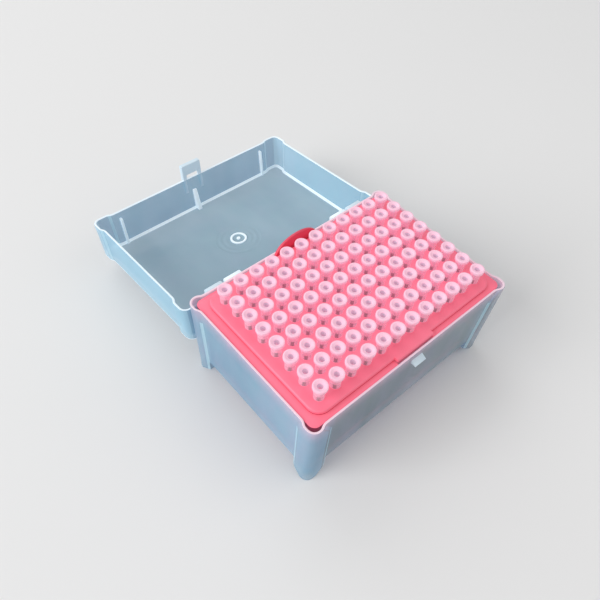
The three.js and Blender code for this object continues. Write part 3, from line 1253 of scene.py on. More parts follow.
@dataclass
class Tub:
    """The tub: its posted shell on four hollow feet, the rack's ribs, the catch and knuckles."""

    hinge: Hinge
    shell: PostedShell
    rim_z: float = 50.5
    shoulder_z: float = 44.0
    foot_height: float = 11.0
    foot_x: float = 50.3
    foot_y: float = 32.2
    toe_height: float = 4.6
    toe_step: float = 1.0
    toe_step_height: float = 0.3
    toe_taper: float = 5.6
    floor: float = 1.2
    foot_edge: float = 0.6
    foot_edge_steps: int = 3
    fillet: float = 1.2
    gate_radius: float = 3.4
    gate_drop: float = 0.4
    gate_bevel: float = 0.2
    gate_sides: int = 32
    ledge_top: float = 48.2
    ledge_inset: float = 1.0
    ledge_reach_x: float = 56.8
    ledge_reach_y: float = 38.8
    ledge_round: float = 0.15
    catch_foot: float = 44.2
    catch_height: float = 2.1
    catch_reach: float = 2.6
    catch_half: float = 3.5
    catch_root: float = 0.6
    catch_top: float = 0.1
    catch_round: float = 0.2
    web_rise: float = 0.72
    web_drop: float = 1.6
    web_foot: float = 1.0

    def build(self) -> BMesh:
        """Builds the whole tub as one mesh.

        Returns:
            Its mesh.
        """
        mesh = self._body()
        gate = hanging_ring(
            self.foot_height, self.gate_radius, self.gate_drop, self.gate_bevel, self.gate_sides
        )
        join(mesh, *self._ledges(), self._catch(), gate)
        for side in Side:
            join(mesh, *painted(self._knuckle(side), ShellCoat.LATCH))
        return mesh

    def _body(self) -> BMesh:
        """The shell with its feet, hollow down to their soles.

        Returns:
            Its mesh.
        """
        shell, mesh = self.shell, bmesh.new()
        top = self.rim_z - shell.rim_round
        rim, below = shell.block(mesh, top, self.shoulder_z - top)
        shell.carry(mesh, [below], self.foot_height - self.shoulder_z)
        feet = shell.corners(mesh, self.foot_height, self.foot_x, self.foot_y)
        self._toes(mesh, shell.carry(mesh, feet, self.toe_height - self.foot_height), 0.0)
        bright = shell.rim(mesh, rim)
        floor = self.foot_height + self.floor
        inside = shell.carry(mesh, [rim], self.shoulder_z - top, widening=True)
        inside = shell.carry(mesh, inside, floor + self.fillet - self.shoulder_z)
        bright += turned(mesh, inside, self.fillet, -1, Turn.WALL_TO_FLAT)
        hollows = shell.corners(mesh, floor, self.foot_x + shell.wall, self.foot_y + shell.wall)
        hollows = shell.carry(mesh, hollows, self.toe_height + self.floor - floor)
        self._toes(mesh, hollows, shell.wall)
        outward(mesh)
        self._paint(mesh, bright)
        return mesh

    def _paint(self, mesh: BMesh, bright: Sequence[BMFace]) -> None:
        """Gives the shell's faces their coats, each over the ones before.

        Args:
            mesh: The shell's mesh.
            bright: The faces of its rim and fillets.
        """
        shell, middle = self.shell, {f: f.calc_center_median() for f in mesh.faces}
        ends = (f for f in mesh.faces if abs(f.normal.y) > SQUARE)
        below_rim = self.rim_z - 2 * shell.rim_round
        upper = (f for f in mesh.faces if self.shoulder_z < middle[f].z < below_rim)
        paint(mesh.faces, ShellCoat.WALL)
        # The walls across Y take a darker, greyer copy as painted shade, all but the posts on the
        # left, which the lamp on the left lights.
        paint((f for f in ends if middle[f].x > -shell.post_x), ShellCoat.END)
        # The posts' slopes below the shoulder take a painted highlight.
        paint((f for f in shell.slopes(mesh) if middle[f].z < self.shoulder_z), ShellCoat.SLOPE)
        # The rim and the fillets take a painted highlight, tinted pink with the rack's light.
        paint((f for f in bright if f.is_valid), ShellCoat.EDGE)
        # The upper inner faces take a painted light: a paler copy with a strong painted pink glow
        # of the rack's light near the rim.
        paint((f for f in upper if faces_axis(f)), ShellCoat.LINING)

    def _toes(self, mesh: BMesh, faces: Sequence[BMFace], gap: float) -> None:
        """Ends feet or their hollows in toes whose inner ends slant out to the corner.

        Args:
            mesh: The mesh.
            faces: The level faces at the top of the toes.
            gap: How far inside the feet's inner ends these ones are.
        """
        shell, x, y = self.shell, self.foot_x + gap, self.foot_y + gap
        step, taper = self.toe_step, self.toe_taper
        taper_height = self.toe_height - self.toe_step_height - self.foot_edge
        faces = shell.trim(mesh, faces, x + step, y + step, self.toe_step_height)
        faces = shell.trim(mesh, faces, x + taper, y + taper, taper_height)
        shell.round_off(mesh, faces, self.foot_edge, self.foot_edge_steps)

    def _ledges(self) -> list[BMesh]:
        """The upright ribs beside the posts that carry the rack's flange.

        Returns:
            Their meshes.
        """
        shell, found = self.shell, []
        x, y = self.foot_x - self.ledge_inset, self.foot_y - self.ledge_inset
        quarter = Matrix.Rotation(-math.pi / 2, 4, "Z")
        for side, end in product((-1, 1), repeat=2):
            across = self._ledge(side, shell.half_y, self.ledge_reach_y)
            across.transform(Matrix.Translation((end * x, 0, 0)))
            along = self._ledge(side, shell.half_x, self.ledge_reach_x)
            along.transform(Matrix.Translation((0, end * y, 0)) @ quarter)
            found += [across, along]
        return found

    def _ledge(self, side: int, half: float, reach: float) -> BMesh:
        """One rib across the X axis, rooted in a wall.

        Args:
            side: 1 or -1 for the wall's side.
            half: How far from the middle the wall's outside is at the rim.
            reach: How far from the middle the rib's free edge is.

        Returns:
            Its mesh.
        """
        thick, low = self.shell.wall / 2, self.foot_height + self.floor / 2
        lean = self.shell.draft * (self.rim_z - self.foot_height)
        wall, free = side * (half - thick), side * reach
        top = self.ledge_top
        outline = [(wall - side * lean, low), (free, low), (free, top), (wall, top)]
        return profile_x(outline, -thick, thick, self.ledge_round)

    def _catch(self) -> BMesh:
        """The wedge in front that the lid's slot snaps over.

        Returns:
            Its mesh.
        """
        wall, foot = -self.shell.half_y, self.catch_foot
        top, nose = foot + self.catch_height, wall - self.catch_reach
        root = wall + self.catch_root
        wedge = [
            (root, foot),
            (nose, foot),
            (nose, foot + self.catch_height / 4),
            (wall + self.catch_top, top),
            (root, top),
        ]
        made = profile_x(wedge, -self.catch_half, self.catch_half, self.catch_round)
        paint(made.faces, ShellCoat.LATCH)
        return made

    def _knuckle(self, side: Side) -> list[BMesh]:
        """One of the tub's knuckles, with the web that holds it to the wall.

        Args:
            side: Its side.

        Returns:
            Their meshes.
        """
        hinge, shell = self.hinge, self.shell
        wall = shell.half_y - shell.wall / 2 - shell.draft * (self.rim_z - hinge.z)
        upper = hinge.z + hinge.radius * self.web_rise
        lower = hinge.z - hinge.radius - self.web_drop
        web = [
            (wall, upper),
            (wall, lower),
            (wall + self.web_foot, lower),
            (hinge.y, hinge.z - hinge.radius + hinge.web_lap),
            (hinge.y, upper),
        ]
        return hinge.knuckle(hinge.outer(side), web)


# ---- Lid ----


@dataclass
class Lid:
    """The lid, drawn shut: posted shell, stop ribs, gusset, gate ring, latch tab and knuckles."""

    hinge: Hinge
    shell: PostedShell
    rim_z: float = 46.9
    height: float = 22.4
    top: float = 1.2
    edge: float = 1.1
    edge_steps: int = 4
    fillet: float = 1.2
    root: float = 0.6
    gate_y: float = -1.2
    gate_ring: Pair = (3.6, 4.8)
    gate_drop: float = 0.5
    gate_bevel: float = 0.15
    gate_sides: int = 32
    nub: float = 1.1
    nub_drop: float = 0.6
    nub_sides: int = 24
    rib_spread: float = 98.4
    rib_foot: float = 50.8
    rib_depth: float = 1.8
    rib_thickness: float = 1.2
    rib_round: float = 0.25
    gusset_depth: float = 3.6
    gusset_foot: float = 1.0
    gusset_nose: float = 0.4
    gusset_root: float = 0.5
    gusset_thickness: float = 2.4
    gusset_height: float = 13.0
    tab_half: float = 6.2
    tab_length: float = 9.0
    tab_root: float = 9.0
    tab_round: float = 0.22
    frame_width: float = 1.7
    frame_rise: float = 1.5
    frame_ramp: float = 3.0
    slot_half: float = 3.8
    slot_height: float = 2.7
    slot_rise: float = 0.2
    arm_reach: float = 0.70
    arm_rise: float = 1.4
    arm_top: float = 0.9

    def build(self) -> BMesh:
        """Builds the whole lid as one mesh, shut.

        Returns:
            Its mesh.
        """
        mesh = self._body()
        # The ribs, the gate ring and the knuckles take the painted highlight of the bright edges.
        bright = painted([*self._ribs(), *self._gate()], ShellCoat.EDGE)
        join(mesh, *bright, *painted(self._latch(), ShellCoat.LATCH))
        for side in Side:
            join(mesh, *painted(self._knuckle(side), ShellCoat.EDGE))
        return mesh

    @property
    def ceiling(self) -> float:
        """The height of the lid's inner top."""
        return self.rim_z + self.height - self.top

    def _body(self) -> BMesh:
        """The lid's shell.

        Returns:
            Its mesh.
        """
        shell, mesh = self.shell, bmesh.new()
        foot = self.rim_z + shell.rim_round
        top = self.rim_z + self.height - self.edge
        rim, roof = shell.block(mesh, foot, top - foot)
        bright = turned(mesh, [roof], self.edge, 1, Turn.WALL_TO_FLAT, self.edge_steps)
        bright += shell.rim(mesh, rim)
        inside = shell.carry(mesh, [rim], self.ceiling - self.fillet - foot)
        bright += turned(mesh, inside, self.fillet, -1, Turn.WALL_TO_FLAT, self.edge_steps)
        outward(mesh)
        paint(mesh.faces, ShellCoat.WALL)
        # The level faces take a greyer copy of the wall's material, as painted shade.
        paint((f for f in mesh.faces if abs(f.normal.z) > SQUARE), ShellCoat.PANE)
        # The walls across Y take a darker copy, as painted shade.
        paint((f for f in mesh.faces if abs(f.normal.y) > SQUARE), ShellCoat.END)
        # The posts' slopes take a painted highlight.
        paint(shell.slopes(mesh), ShellCoat.SLOPE)
        # The rim, the top's round and the fillet take a painted highlight.
        paint((f for f in bright if f.is_valid), ShellCoat.EDGE)
        return mesh

    def _inner(self, z: float) -> float:
        """The y of the front wall's inner face at a height."""
        return -self.shell.half_y + self.shell.wall + self.shell.draft * (z - self.rim_z)

    def _ribs(self) -> list[BMesh]:
        """The two stop ribs and the gusset on the front wall.

        Returns:
            Their meshes.
        """
        top, foot, half = self.ceiling, self.rib_foot, self.rib_thickness / 2
        low, high = self._inner(foot), self._inner(top)
        rib = [
            (low - self.root, foot),
            (high - self.root, top + self.root),
            (high + self.rib_depth, top + self.root),
            (low + self.rib_depth, foot),
        ]
        foot, root = top - self.gusset_height, self.gusset_root
        low, nose = self._inner(foot), high + self.gusset_depth
        gusset = [
            (low - root, foot),
            (high - root, top + root),
            (nose, top + root),
            (nose, top - self.gusset_nose),
            (low + self.gusset_foot, foot),
        ]
        side, edge = self.rib_spread / 2, self.rib_round
        return [
            profile_x(rib, -side - half, -side + half, edge),
            profile_x(rib, side - half, side + half, edge),
            profile_x(gusset, half - self.gusset_thickness, half, edge),
        ]

    def _gate(self) -> list[BMesh]:
        """The raised ring and nub inside the top.

        Returns:
            Their meshes.
        """
        (hole, outer), z, bevel = self.gate_ring, self.ceiling, self.gate_bevel
        made = [
            hanging_ring(z, outer, self.gate_drop, bevel, self.gate_sides, hole),
            hanging_ring(z, self.nub, self.nub_drop, bevel, self.nub_sides),
        ]
        for mesh in made:
            mesh.transform(Matrix.Translation((0, self.gate_y, 0)))
        return made

    def _latch(self) -> list[BMesh]:
        """The tab with its slot, and the raised frame round it.

        Returns:
            Their meshes.
        """
        outer, inner = -self.shell.half_y, -self.shell.half_y + self.shell.wall
        end, root = self.rim_z - self.tab_length, self.rim_z + self.tab_root
        half, width = self.tab_half, self.frame_width
        slot = (self.slot_half, self.rim_z - self.slot_height, self.rim_z + self.slot_rise)
        tongue = self._plate(outer, inner, (half, end, self.rim_z + self.root), slot)
        within = (half - width, end + width, math.inf)
        near, far = outer - self.frame_rise, outer + self.root
        frame = self._plate(near, far, (half, end, root), within)
        for vert in frame.verts:
            if vert.co.z > root - SAME_LEVEL and vert.co.y < outer:
                vert.co.y = outer + self.shell.draft * self.tab_root
        for mesh in (tongue, frame):
            outward(mesh)
            soften(mesh, sharp_edges(mesh), self.tab_round)
        return [tongue, frame]

    def _plate(self, near: float, far: float, size: Triple, hole: Triple) -> BMesh:
        """An upright plate across Y with a rectangular hole or notch.

        Args:
            near: Its front face's y.
            far: Its back face's y.
            size: Its half width, lowest z and highest z.
            hole: The hole's half width, lowest z and highest z.

        Returns:
            Its mesh.
        """
        mesh = bmesh.new()
        half, low, high = size
        corners = ((-half, low), (half, low), (half, high), (-half, high))
        mesh.faces.new([mesh.verts.new((x, near, z)) for x, z in corners])
        for x in (-hole[0], hole[0]):
            cut(mesh, (x, 0, 0), (1, 0, 0))
        for z in (hole[1], hole[2], high - self.frame_ramp):
            if low < z < high:
                cut(mesh, (0, 0, z), (0, 0, 1))
        take_away(mesh, lambda spot: abs(spot.x) < hole[0] and hole[1] < spot.z < hole[2])
        moved, _ = extruded(mesh, mesh.faces)
        bmesh.ops.translate(mesh, vec=(0, far - near, 0), verts=moved)
        return mesh

    def _knuckle(self, side: Side) -> list[BMesh]:
        """One of the lid's knuckles, with its arm and its pin.

        Args:
            side: Its side.

        Returns:
            Their meshes.
        """
        hinge = self.hinge
        pin = hinge.rod(hinge.pin, hinge.pin_span(side), hinge.pin_round)
        wall, reach = self.shell.half_y - self.shell.wall / 2, hinge.radius * self.arm_reach
        arm = [
            (wall, self.rim_z + hinge.radius),
            (wall, self.rim_z - hinge.web_lap),
            (wall, hinge.z),
            (hinge.y + reach, hinge.z),
            (hinge.y + reach, hinge.z + self.arm_rise),
            (wall + self.arm_top, self.rim_z + hinge.radius),
        ]
        barrel, web = hinge.knuckle(hinge.inner(side), arm)
        return [barrel, pin, web]


# ---- Grid, rack and tips ----


@dataclass
class Grid:
    """The grid that the tips stand on, and the rows whose tips are solids of their own."""

    columns: int = 12
    rows: str = "ABCDEFGH"
    pitch: float = 9.0
    loose_rows: str = "ABGH"

    @property
    def reach_x(self) -> float:
        """From the middle to the outermost tips' axes, along X."""
        return (self.columns - 1) * self.pitch / 2

    @property
    def reach_y(self) -> float:
        """From the middle to the outermost tips' axes, along Y."""
        return (len(self.rows) - 1) * self.pitch / 2

    def places(self) -> list[tuple[str, float, float]]:
        """Goes through the grid from the back row on.

        Returns:
            Each tip's name and the x and y of its axis.
        """
        found = []
        for (row, letter), column in product(enumerate(self.rows), range(self.columns)):
            x, y = column * self.pitch - self.reach_x, self.reach_y - row * self.pitch
            found.append((f"{letter}{column + 1:02d}", x, y))
        return found


@dataclass
class Rack:
    """The coral rack: perforated deck, skirt, flange with a finger notch, and a pull tab.

    The flange's round is how far in and how far down its upper edge is at each step. Its outline
    starts as a wide circle, which is then brought on to a rounded rectangle.
    """

    grid: Grid
    deck_z: float = 52.1
    deck_x: float = 56.3
    deck_y: float = 38.3
    deck_radius: float = 6.0
    deck_thickness: float = 1.6
    deck_round: float = 0.8
    deck_round_steps: int = 4
    hole: float = 2.35
    hole_sides: int = 24
    skirt_bottom: float = 42.3
    skirt_wall: float = 1.4
    flange_top: float = 49.7
    flange_thickness: float = 1.4
    flange_x: float = 60.35
    flange_y: float = 40.85
    flange_radius: float = 3.4
    flange_round: Outline = ((0.0, 0.3), (0.1, 0.1), (0.3, 0.0))
    flange_segments: int = 160
    flange_start: float = 200.0
    corner_drop: float = 2.6
    notch_half: float = 11.5
    notch_blend: float = 0.05
    lip_y: float = 40.2
    tab_half: float = 13.5
    tab_height: float = 9.0
    tab_thickness: float = 1.4
    tab_segments: int = 48
    tab_round: float = 0.3

    def build(self) -> BMesh:
        """Builds the whole rack as one mesh.

        Returns:
            Its mesh.
        """
        mesh = self._deck()
        join(mesh, self._flange(), self._tab())
        return mesh

    def _cell(self) -> bpy.types.Mesh:
        """One pitch by pitch square of the deck with its hole.

        Returns:
            Its mesh data.
        """
        mesh, half = bmesh.new(), self.grid.pitch / 2
        bmesh.ops.create_circle(mesh, cap_ends=False, segments=self.hole_sides, radius=self.hole)
        moved, _ = drawn_on(mesh, mesh.edges)
        for vert in moved:
            vert.co *= half / max(abs(vert.co.x), abs(vert.co.y))
        data = bpy.data.meshes.new("cell")
        mesh.to_mesh(data)
        mesh.free()
        return data

    def _deck(self) -> BMesh:
        """The deck with its holes, its rounded edge and the skirt under it, as one thick sheet.

        Returns:
            Its mesh.
        """
        mesh, cell = bmesh.new(), self._cell()
        for _, x, y in self.grid.places():
            start = len(mesh.verts)
            mesh.from_mesh(cell)
            mesh.verts.ensure_lookup_table()
            bmesh.ops.translate(mesh, vec=(x, y, self.deck_z), verts=mesh.verts[start:])
        bpy.data.meshes.remove(cell)
        bmesh.ops.remove_doubles(mesh, verts=mesh.verts[:], dist=SAME_LEVEL)
        for side, nudge in product((-self.notch_half, self.notch_half), (-1, 1)):
            cut(mesh, (side + nudge * self.notch_blend, 0, 0), (1, 0, 0))
        edge, round_ = self._border(mesh), self.deck_round
        whole = (self.deck_x, self.deck_y, self.deck_radius)
        for part in range(self.deck_round_steps + 1):
            angle = part / self.deck_round_steps * math.pi / 2
            shrink, drop = round_ * (1 - math.sin(angle)), round_ * (1 - math.cos(angle))
            size = tuple(side - shrink for side in whole)
            edge = self._swept(mesh, edge, size, self.deck_z - drop, self.lip_y - shrink)
        under = self.deck_z - self.deck_thickness
        edge = self._swept(mesh, edge, whole, under, self.lip_y)
        for z in (under - self.notch_blend, self.skirt_bottom):
            edge = self._swept(mesh, edge, whole, z)
        outward(mesh)
        middle = max(mesh.faces, key=lambda f: f.calc_center_median().z)
        if middle.normal.z < 0:
            bmesh.ops.reverse_faces(mesh, faces=mesh.faces[:])
        bmesh.ops.solidify(mesh, geom=mesh.faces[:], thickness=self.skirt_wall)
        return mesh

    def _border(self, mesh: BMesh) -> list[BMEdge]:
        """Finds the outer boundary of the grid of cells.

        Args:
            mesh: The mesh.

        Returns:
            Its edges.
        """
        far_x = self.grid.reach_x + self.grid.pitch / 2
        far_y = self.grid.reach_y + self.grid.pitch / 2
        found = []
        for edge in mesh.edges:
            x, y, _ = (edge.verts[0].co + edge.verts[1].co) / 2
            if len(edge.link_faces) == 1 and (
                abs(abs(x) - far_x) < SAME_LEVEL or abs(abs(y) - far_y) < SAME_LEVEL
            ):
                found.append(edge)
        return found

    def _swept(
        self, mesh: BMesh, edges: Sequence[BMEdge], size: Triple, z: float, lip: float = 0.0
    ) -> list[BMEdge]:
        """Carries a border one step on, to a rounded rectangle.

        Args:
            mesh: The mesh.
            edges: The border so far.
            size: The rectangle's half length, half width and corner radius.
            z: Its height.
            lip: How far from the middle it bulges out over the finger notch, or 0 for not at all.

        Returns:
            The next border.
        """
        verts, border = drawn_on(mesh, edges)
        for vert in verts:
            x, y = vert.co.x, vert.co.y
            vert.co = (*onto_rounded(x, y, *size), z)
            if lip and abs(x) < self.notch_half and y < 0:
                vert.co.y = -lip
        return border

    def _flange(self) -> BMesh:
        """The flange round the deck, open at the finger notch and turned down at its corners.

        Returns:
            Its mesh.
        """
        mesh, high = bmesh.new(), self.flange_top
        low = high - self.flange_thickness
        outer = (self.flange_x, self.flange_y, self.flange_radius)
        middle = self.skirt_wall / 2
        inner = (self.deck_x - middle, self.deck_y - middle, self.deck_radius - middle)
        segments, radius = self.flange_segments, self.flange_start
        bmesh.ops.create_circle(mesh, cap_ends=False, segments=segments, radius=radius)
        for vert in mesh.verts:
            x, y = onto_rounded(vert.co.x, vert.co.y, *outer)
            from_ends = max(self.flange_x - abs(x), self.flange_y - abs(y))
            drop = self.corner_drop if from_ends < 2 * self.flange_radius else 0.0
            vert.co = (x, y, low - drop)
        start = edges = mesh.edges[:]
        top = [([part - back for part in outer], high - down) for back, down in self.flange_round]
        for size, z in (*top, (inner, high), (inner, low)):
            edges = self._swept(mesh, edges, size, z)
        bmesh.ops.bridge_loops(mesh, edges=start + edges)
        self._open_notch(mesh)
        outward(mesh)
        # The turned-down corners are painted a dark coral, as painted shade.
        turned_down = (f for f in mesh.faces if f.calc_center_median().z < low - SAME_LEVEL)
        paint(turned_down, RackCoat.CORNER_SHADE)
        return mesh

    def _open_notch(self, mesh: BMesh) -> None:
        """Takes the flange away in front of the finger notch and closes its cut ends.

        Args:
            mesh: The flange's mesh.
        """
        for x in (-self.notch_half, self.notch_half):
            cut(mesh, (x, 0, 0), (1, 0, 0))
        take_away(mesh, lambda spot: abs(spot.x) < self.notch_half and spot.y < 0)
        free = [e for e in mesh.edges if len(e.link_faces) == 1]
        bmesh.ops.holes_fill(mesh, edges=free, sides=0)

    def _tab(self) -> BMesh:
        """The arched pull tab at the back.

        Returns:
            Its mesh.
        """
        mesh = bmesh.new()
        bmesh.ops.create_circle(mesh, cap_ends=True, segments=self.tab_segments, radius=1.0)
        bmesh.ops.scale(mesh, vec=(self.tab_half, self.tab_height, 1), verts=mesh.verts[:])
        cut(mesh, (0, 0, 0), (0, 1, 0), one_side=True)
        moved, _ = extruded(mesh, mesh.faces)
        bmesh.ops.translate(mesh, vec=(0, 0, self.tab_thickness), verts=moved)
        outward(mesh)
        soften(mesh, sharp_edges(mesh, limit=60.0), self.tab_round)
        upright = Matrix.Rotation(math.pi / 2, 3, "X")
        bmesh.ops.rotate(mesh, cent=(0, 0, 0), matrix=upright, verts=mesh.verts[:])
        foot = self.flange_top - self.flange_thickness / 2
        bmesh.ops.translate(mesh, vec=(0, self.flange_y, foot), verts=mesh.verts[:])
        # The tab is painted a deeper coral, as painted shade.
        paint(mesh.faces, RackCoat.TAB_SHADE)
        return mesh


@dataclass
class Tip:
    """One pipette tip, measured from its seat on the deck.

    Its outside and its bore are given as corners of (radius, z).
    """

    sides: int = 20
    head: float = 8.5
    funnel: float = 1.5
    funnel_slant: float = 0.3
    waist: float = 3.2
    throat: float = -6.0
    hollow: float = 4.6
    tube: Pair = (-3.0, 0.9)
    outside: tuple[Pair, ...] = (
        (0.30, -38.5), (0.52, -38.4), (0.60, -36.0), (1.25, -18.0), (1.85, -5.0), (2.28, -0.4),
        (2.30, 0.0), (2.45, 0.02), (2.46, 3.2), (2.62, 5.9), (2.72, 6.05), (3.28, 6.6),
        (3.40, 6.8), (3.40, 8.25), (3.33, 8.43), (3.15, 8.5),
    )
    bore: tuple[Pair, ...] = (
        (2.62, 8.5), (2.46, 8.44), (2.34, 8.36), (1.40, 8.02), (1.28, 7.6), (1.20, 4.6),
        (1.10, 1.5), (0.84, 0.9), (0.78, -3.0), (0.60, -18.0), (0.28, -38.4),
    )

    def build(self) -> BMesh:
        """Builds the tip about the Z axis, its seat at z = 0.

        Returns:
            Its mesh.
        """
        mesh = spun(self.outside + self.bore, self.sides, closed=True)
        for face in mesh.faces:
            paint([face], self._coat(face))
        return mesh

    def _coat(self, face: BMFace) -> TipCoat:
        """Chooses a face's finish by its height and by whether it is in the bore.

        Args:
            face: The face.

        Returns:
            The finish's slot.
        """
        z, inside = face.calc_center_median().z, faces_axis(face)
        if z > self.head - self.funnel and (inside or face.normal.z > self.funnel_slant):
            return TipCoat.MOUTH
        if inside and z > self.hollow:
            return TipCoat.BORE
        # The narrow bore at the seat is a near black painted shade for the dark where the tip
        # enters the deck's hole.
        if inside and self.tube[0] < z < self.tube[1]:
            return TipCoat.SHADED_CORE
        if inside and z > 0:
            return TipCoat.MOUTH
        if self.throat < z < 0:
            return TipCoat.SHAFT
        return TipCoat.FOOT if 0 < z < self.waist else TipCoat.FILM


# ---- Stage ----


@dataclass(frozen=True)
class Lamp:
    """A soft square lamp that looks at the object, with its size in metres."""

    name: str
    place: Triple
    size: float
    power: float

    def build(self) -> None:
        """Puts the lamp in the scene."""
        light = bpy.data.lights.new(self.name, "AREA")
        light.shape = "SQUARE"
        light.size = self.size
        light.energy = self.power
        lamp = add_object(self.name, light)
        lamp.location = self.place
        lamp.rotation_euler = (-Vector(self.place)).to_track_quat("-Z", "Y").to_euler()


@dataclass
class Studio:
    """Floor, lamps, world and camera, in metres."""

    eye: Triple = (-0.14314, -0.15591, 0.26667)
    aim_degrees: Triple = (38.4339, -3.0391, -40.9162)
    lens: float = 36.145
    sensor: float = 36.0
    nearest: float = 0.01
    floor_size: float = 6.0
    lamps: tuple[Lamp, ...] = (
        Lamp("key", (-2.0, 0.5, 1.2), 1.6, 39.0),
        Lamp("fill", (0.7, -0.7, 1.0), 1.1, 2.5),
        Lamp("back", (0.3, 1.0, 1.0), 1.0, 3.0),
    )
    world_strength: float = 0.50

    def build(self) -> None:
        """Puts everything round the object in place."""
        self._floor()
        for lamp in self.lamps:
            lamp.build()
        self._world()
        self._camera()
        bpy.context.scene.view_settings.view_transform = "Standard"

    def _floor(self) -> None:
        """A wide, flat, pale floor."""
        mesh = bmesh.new()
        bmesh.ops.create_grid(mesh, x_segments=1, y_segments=1, size=self.floor_size / 2 / MM)
        floor = new_piece("floor", mesh, [PaleFloor().material()], Matrix.Identity(4))

    def _world(self) -> None:
        """An even pale surround."""
        world = bpy.data.worlds.new("surround")
        world.use_nodes = True
        bpy.context.scene.world = world
        background = world.node_tree.nodes["Background"]
        background.inputs["Color"].default_value = (1.0, 1.0, 1.0, 1.0)
        background.inputs["Strength"].default_value = self.world_strength

    def _camera(self) -> None:
        """The camera at its viewing angle."""
        data = bpy.data.cameras.new("camera")
        data.lens = self.lens
        data.sensor_width = self.sensor
        data.clip_start = self.nearest
        camera = add_object("camera", data)
        camera.location = self.eye
        camera.rotation_euler = Euler([math.radians(a) for a in self.aim_degrees], "XYZ")
        bpy.context.scene.camera = camera


# ---- The whole box ----


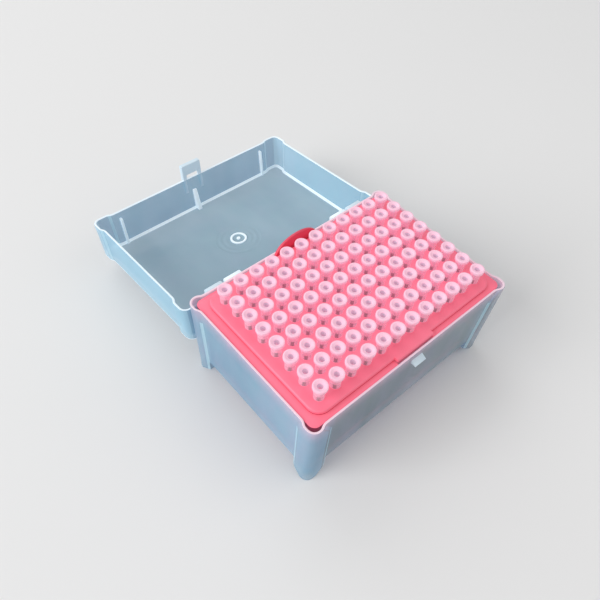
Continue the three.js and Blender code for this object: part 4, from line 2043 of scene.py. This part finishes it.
@dataclass
class TipBox:
    """Builds, dresses and places every piece in the frame."""

    frame: dict
    grid: Grid = field(default_factory=Grid)
    hinge: Hinge = field(default_factory=Hinge)
    seat: float = 52.2
    field_margin: float = 2.5
    deck_step: float = 0.8
    step_lift: float = 0.02

    def __post_init__(self) -> None:
        """Finds the drawing's place in the frame."""
        first, last = (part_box(name) for name in ("tip_A01", "tip_H12"))
        middle = (first[0] + first[1] + last[0] + last[1]) / 4
        self.base_place = Matrix.Translation((0, middle.y / MM, 0))
        joint = self.frame["joints"][0]
        pivot = Vector((0, self.hinge.y, self.hinge.z))
        swing = Matrix.Rotation(-math.radians(joint["range_deg"][1]), 4, "X")
        about = Matrix.Translation(pivot) @ swing @ Matrix.Translation(-pivot)
        self.lid_place = self.base_place @ about

    def dress(self) -> None:
        """Makes every piece."""
        tub_shell = PostedShell(
            half_x=61.7, half_y=42.2, post_x=55.2, post_y=34.8, widen_x=4.2, widen_y=2.3
        )
        lid_shell = PostedShell(half_x=63.3, half_y=43.8, post_x=53.2, post_y=33.8)
        self._shells(Tub(self.hinge, tub_shell), Lid(self.hinge, lid_shell))
        self._rack()
        self._tips()

    def _add(self, piece: bpy.types.Object, body: str, nodes: Sequence[str]) -> None:
        """Ties a piece to its body.

        Args:
            piece: The piece.
            body: The body that it rides on.
            nodes: The solids that it stands for.
        """
        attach(piece, body)
        if nodes:
            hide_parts(*nodes)
        LOG.info("%s rides on %s, %d faces", piece.name, body, len(piece.data.polygons))

    def _shell_coats(self, tub: Tub, lid: Lid) -> dict[str, bpy.types.Material]:
        """Makes the materials of the tub and the lid.

        Args:
            tub: The tub.
            lid: The lid.

        Returns:
            The materials by name.
        """
        tub_gate = MM * (self.base_place @ Vector((0, 0, tub.foot_height)))
        lid_gate = MM * (self.lid_place @ Vector((0, lid.gate_y, lid.ceiling)))
        leg_end = self.lid_place @ Vector((0, -lid.shell.half_y, lid.rim_z + lid.tab_root))
        legs = (MM * (lid.tab_half - lid.frame_width), MM * lid.tab_half, MM * leg_end.z)
        side = FrostedShell(
            "tub_side", tuple(tub_gate), tub.rim_z * MM, tone(102, 150, 178), tone(150, 188, 208)
        )
        # The tub's upper inner faces: painted light, paler, with a strong pink glow of the rack's
        # light near the rim.
        inner_painted_light = tinted(
            side,
            "tub_lining",
            tone(118, 160, 184),
            tone(142, 182, 202),
            blush=tone(218, 176, 198),
            blush_depth=0.0125,
            blush_share=0.9,
        )
        lid_side = tinted(
            side,
            "lid_side",
            tone(140, 188, 210),
            tone(166, 208, 226),
            gate=tuple(lid_gate),
            blush_share=0.0,
            lilac_share=0.12,
        )
        edge = BrightEdge()
        # The posts' slopes: a painted highlight with a glow.
        slope = replace(edge, alpha=0.7, glow=0.10)
        # The latch's parts, the catch and the tub's knuckles: a paler copy with a glow, as painted
        # highlight.
        latch = replace(edge, alpha=0.85, glow=0.12)
        finishes = (
            side,
            # The ends' darker, greyer copies are painted shade.
            tinted(side, "tub_end", tone(108, 130, 136), tone(146, 160, 160)),
            inner_painted_light,
            lid_side,
            tinted(lid_side, "lid_end", tone(106, 156, 184), tone(136, 182, 206), legs=legs),
            tinted(lid_side, "lid_pane", tone(134, 166, 182), tone(158, 187, 200)),
            edge,
            # The tub's rim and fillets: a painted highlight tinted pink with the coral rack's
            # light.
            tinted(edge, "rosy_edge", tone(230, 202, 216), tone(246, 224, 234), glow=0.12),
            tinted(slope, "post_slope", tone(162, 202, 218), tone(188, 220, 234)),
            tinted(latch, "latch_plastic", tone(200, 220, 232), tone(224, 238, 246)),
        )
        return {finish.name: finish.material() for finish in finishes}

    def _shells(self, tub: Tub, lid: Lid) -> None:
        """Makes the tub and the lid, with their coats in the order of ShellCoat.

        Args:
            tub: The tub.
            lid: The lid.
        """
        made = self._shell_coats(tub, lid)
        tub_coats = "tub_side rosy_edge post_slope tub_side tub_end latch_plastic tub_lining"
        lid_coats = "lid_side bright_edge post_slope lid_pane lid_end latch_plastic"
        for name, mesh, place, body, coats in (
            ("tub", tub.build(), self.base_place, "base", tub_coats),
            ("lid", lid.build(), self.lid_place, "lid", lid_coats),
        ):
            materials = [made[coat] for coat in coats.split()]
            piece = new_piece(f"frosted_{name}", mesh, materials, place)
            self._add(piece, body, [name])

    def _rack(self) -> None:
        """Makes the rack."""
        rack = Rack(self.grid)
        margin, y = self.field_margin, self.base_place.translation.y
        # The deck: a painted shade in a band just above the flange, and a painted glow of the
        # tips' light over the field where they stand.
        deck = CoralPlastic(
            step=(rack.flange_top + self.step_lift) * MM,
            step_height=self.deck_step * MM,
            middle=(0.0, MM * y),
            reach=(MM * (self.grid.reach_x + margin), MM * (self.grid.reach_y + margin)),
        )
        # The tab's deeper coral is painted shade.
        tab = tinted(deck, "coral_tab_shade", tone(212, 60, 84), tone(230, 80, 104), glow=0.06)
        # The turned-down corners' dark coral is painted shade.
        corner = tinted(deck, "coral_turn_shade", tone(138, 40, 68), tone(160, 52, 80), glow=0.03)
        coats = [finish.material() for finish in (deck, tab, corner)]
        piece = new_piece("coral_deck", rack.build(), coats, self.base_place)
        self._add(piece, "base", ["rack"])

    def _tips(self) -> None:
        """Makes all the tips, one piece each."""
        tip = Tip()
        # Each coat: name, colour at the seat and at the head, alpha and painted glow. The pinker
        # seats are a painted tint of the coral deck's light; the step coat is a painted shade for
        # the dark where the tip enters the deck's hole; the bore and the shaft have the strongest
        # painted glow, as light where they sit in shade.
        coats = [
            TipFilm(f"tip_{name}", *look, seat=self.seat * MM, head=tip.head * MM).material()
            for name, *look in (
                ("wall", tone(250, 188, 210), tone(252, 218, 236), 0.62, 0.12),
                ("mouth", tone(246, 186, 210), tone(252, 206, 226), 0.85, 0.10),
                ("bore", tone(208, 192, 208), tone(200, 188, 206), 0.8, 0.26),
                ("step", tone(64, 14, 32), tone(76, 20, 40), 1.0, 0.0),
                ("foot", tone(252, 208, 228), tone(254, 218, 234), 0.38, 0.12),
                ("shaft", tone(250, 176, 200), tone(250, 190, 212), 0.85, 0.30),
            )
        ]
        for name, x, y in self.grid.places():
            place = self.base_place @ Matrix.Translation((x, y, self.seat))
            piece = new_piece(f"pipette_tip_{name}", tip.build(), coats, place)
            nodes = [f"tip_{name}"] if name[0] in self.grid.loose_rows else []
            self._add(piece, "base", nodes)


def main() -> None:
    """Builds the pieces in order round the frame, then the studio."""
    logging.basicConfig(level=logging.INFO, format="%(name)s: %(message)s")
    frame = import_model()
    TipBox(frame).dress()
    Studio().build()


if __name__ == "__main__":
    main()
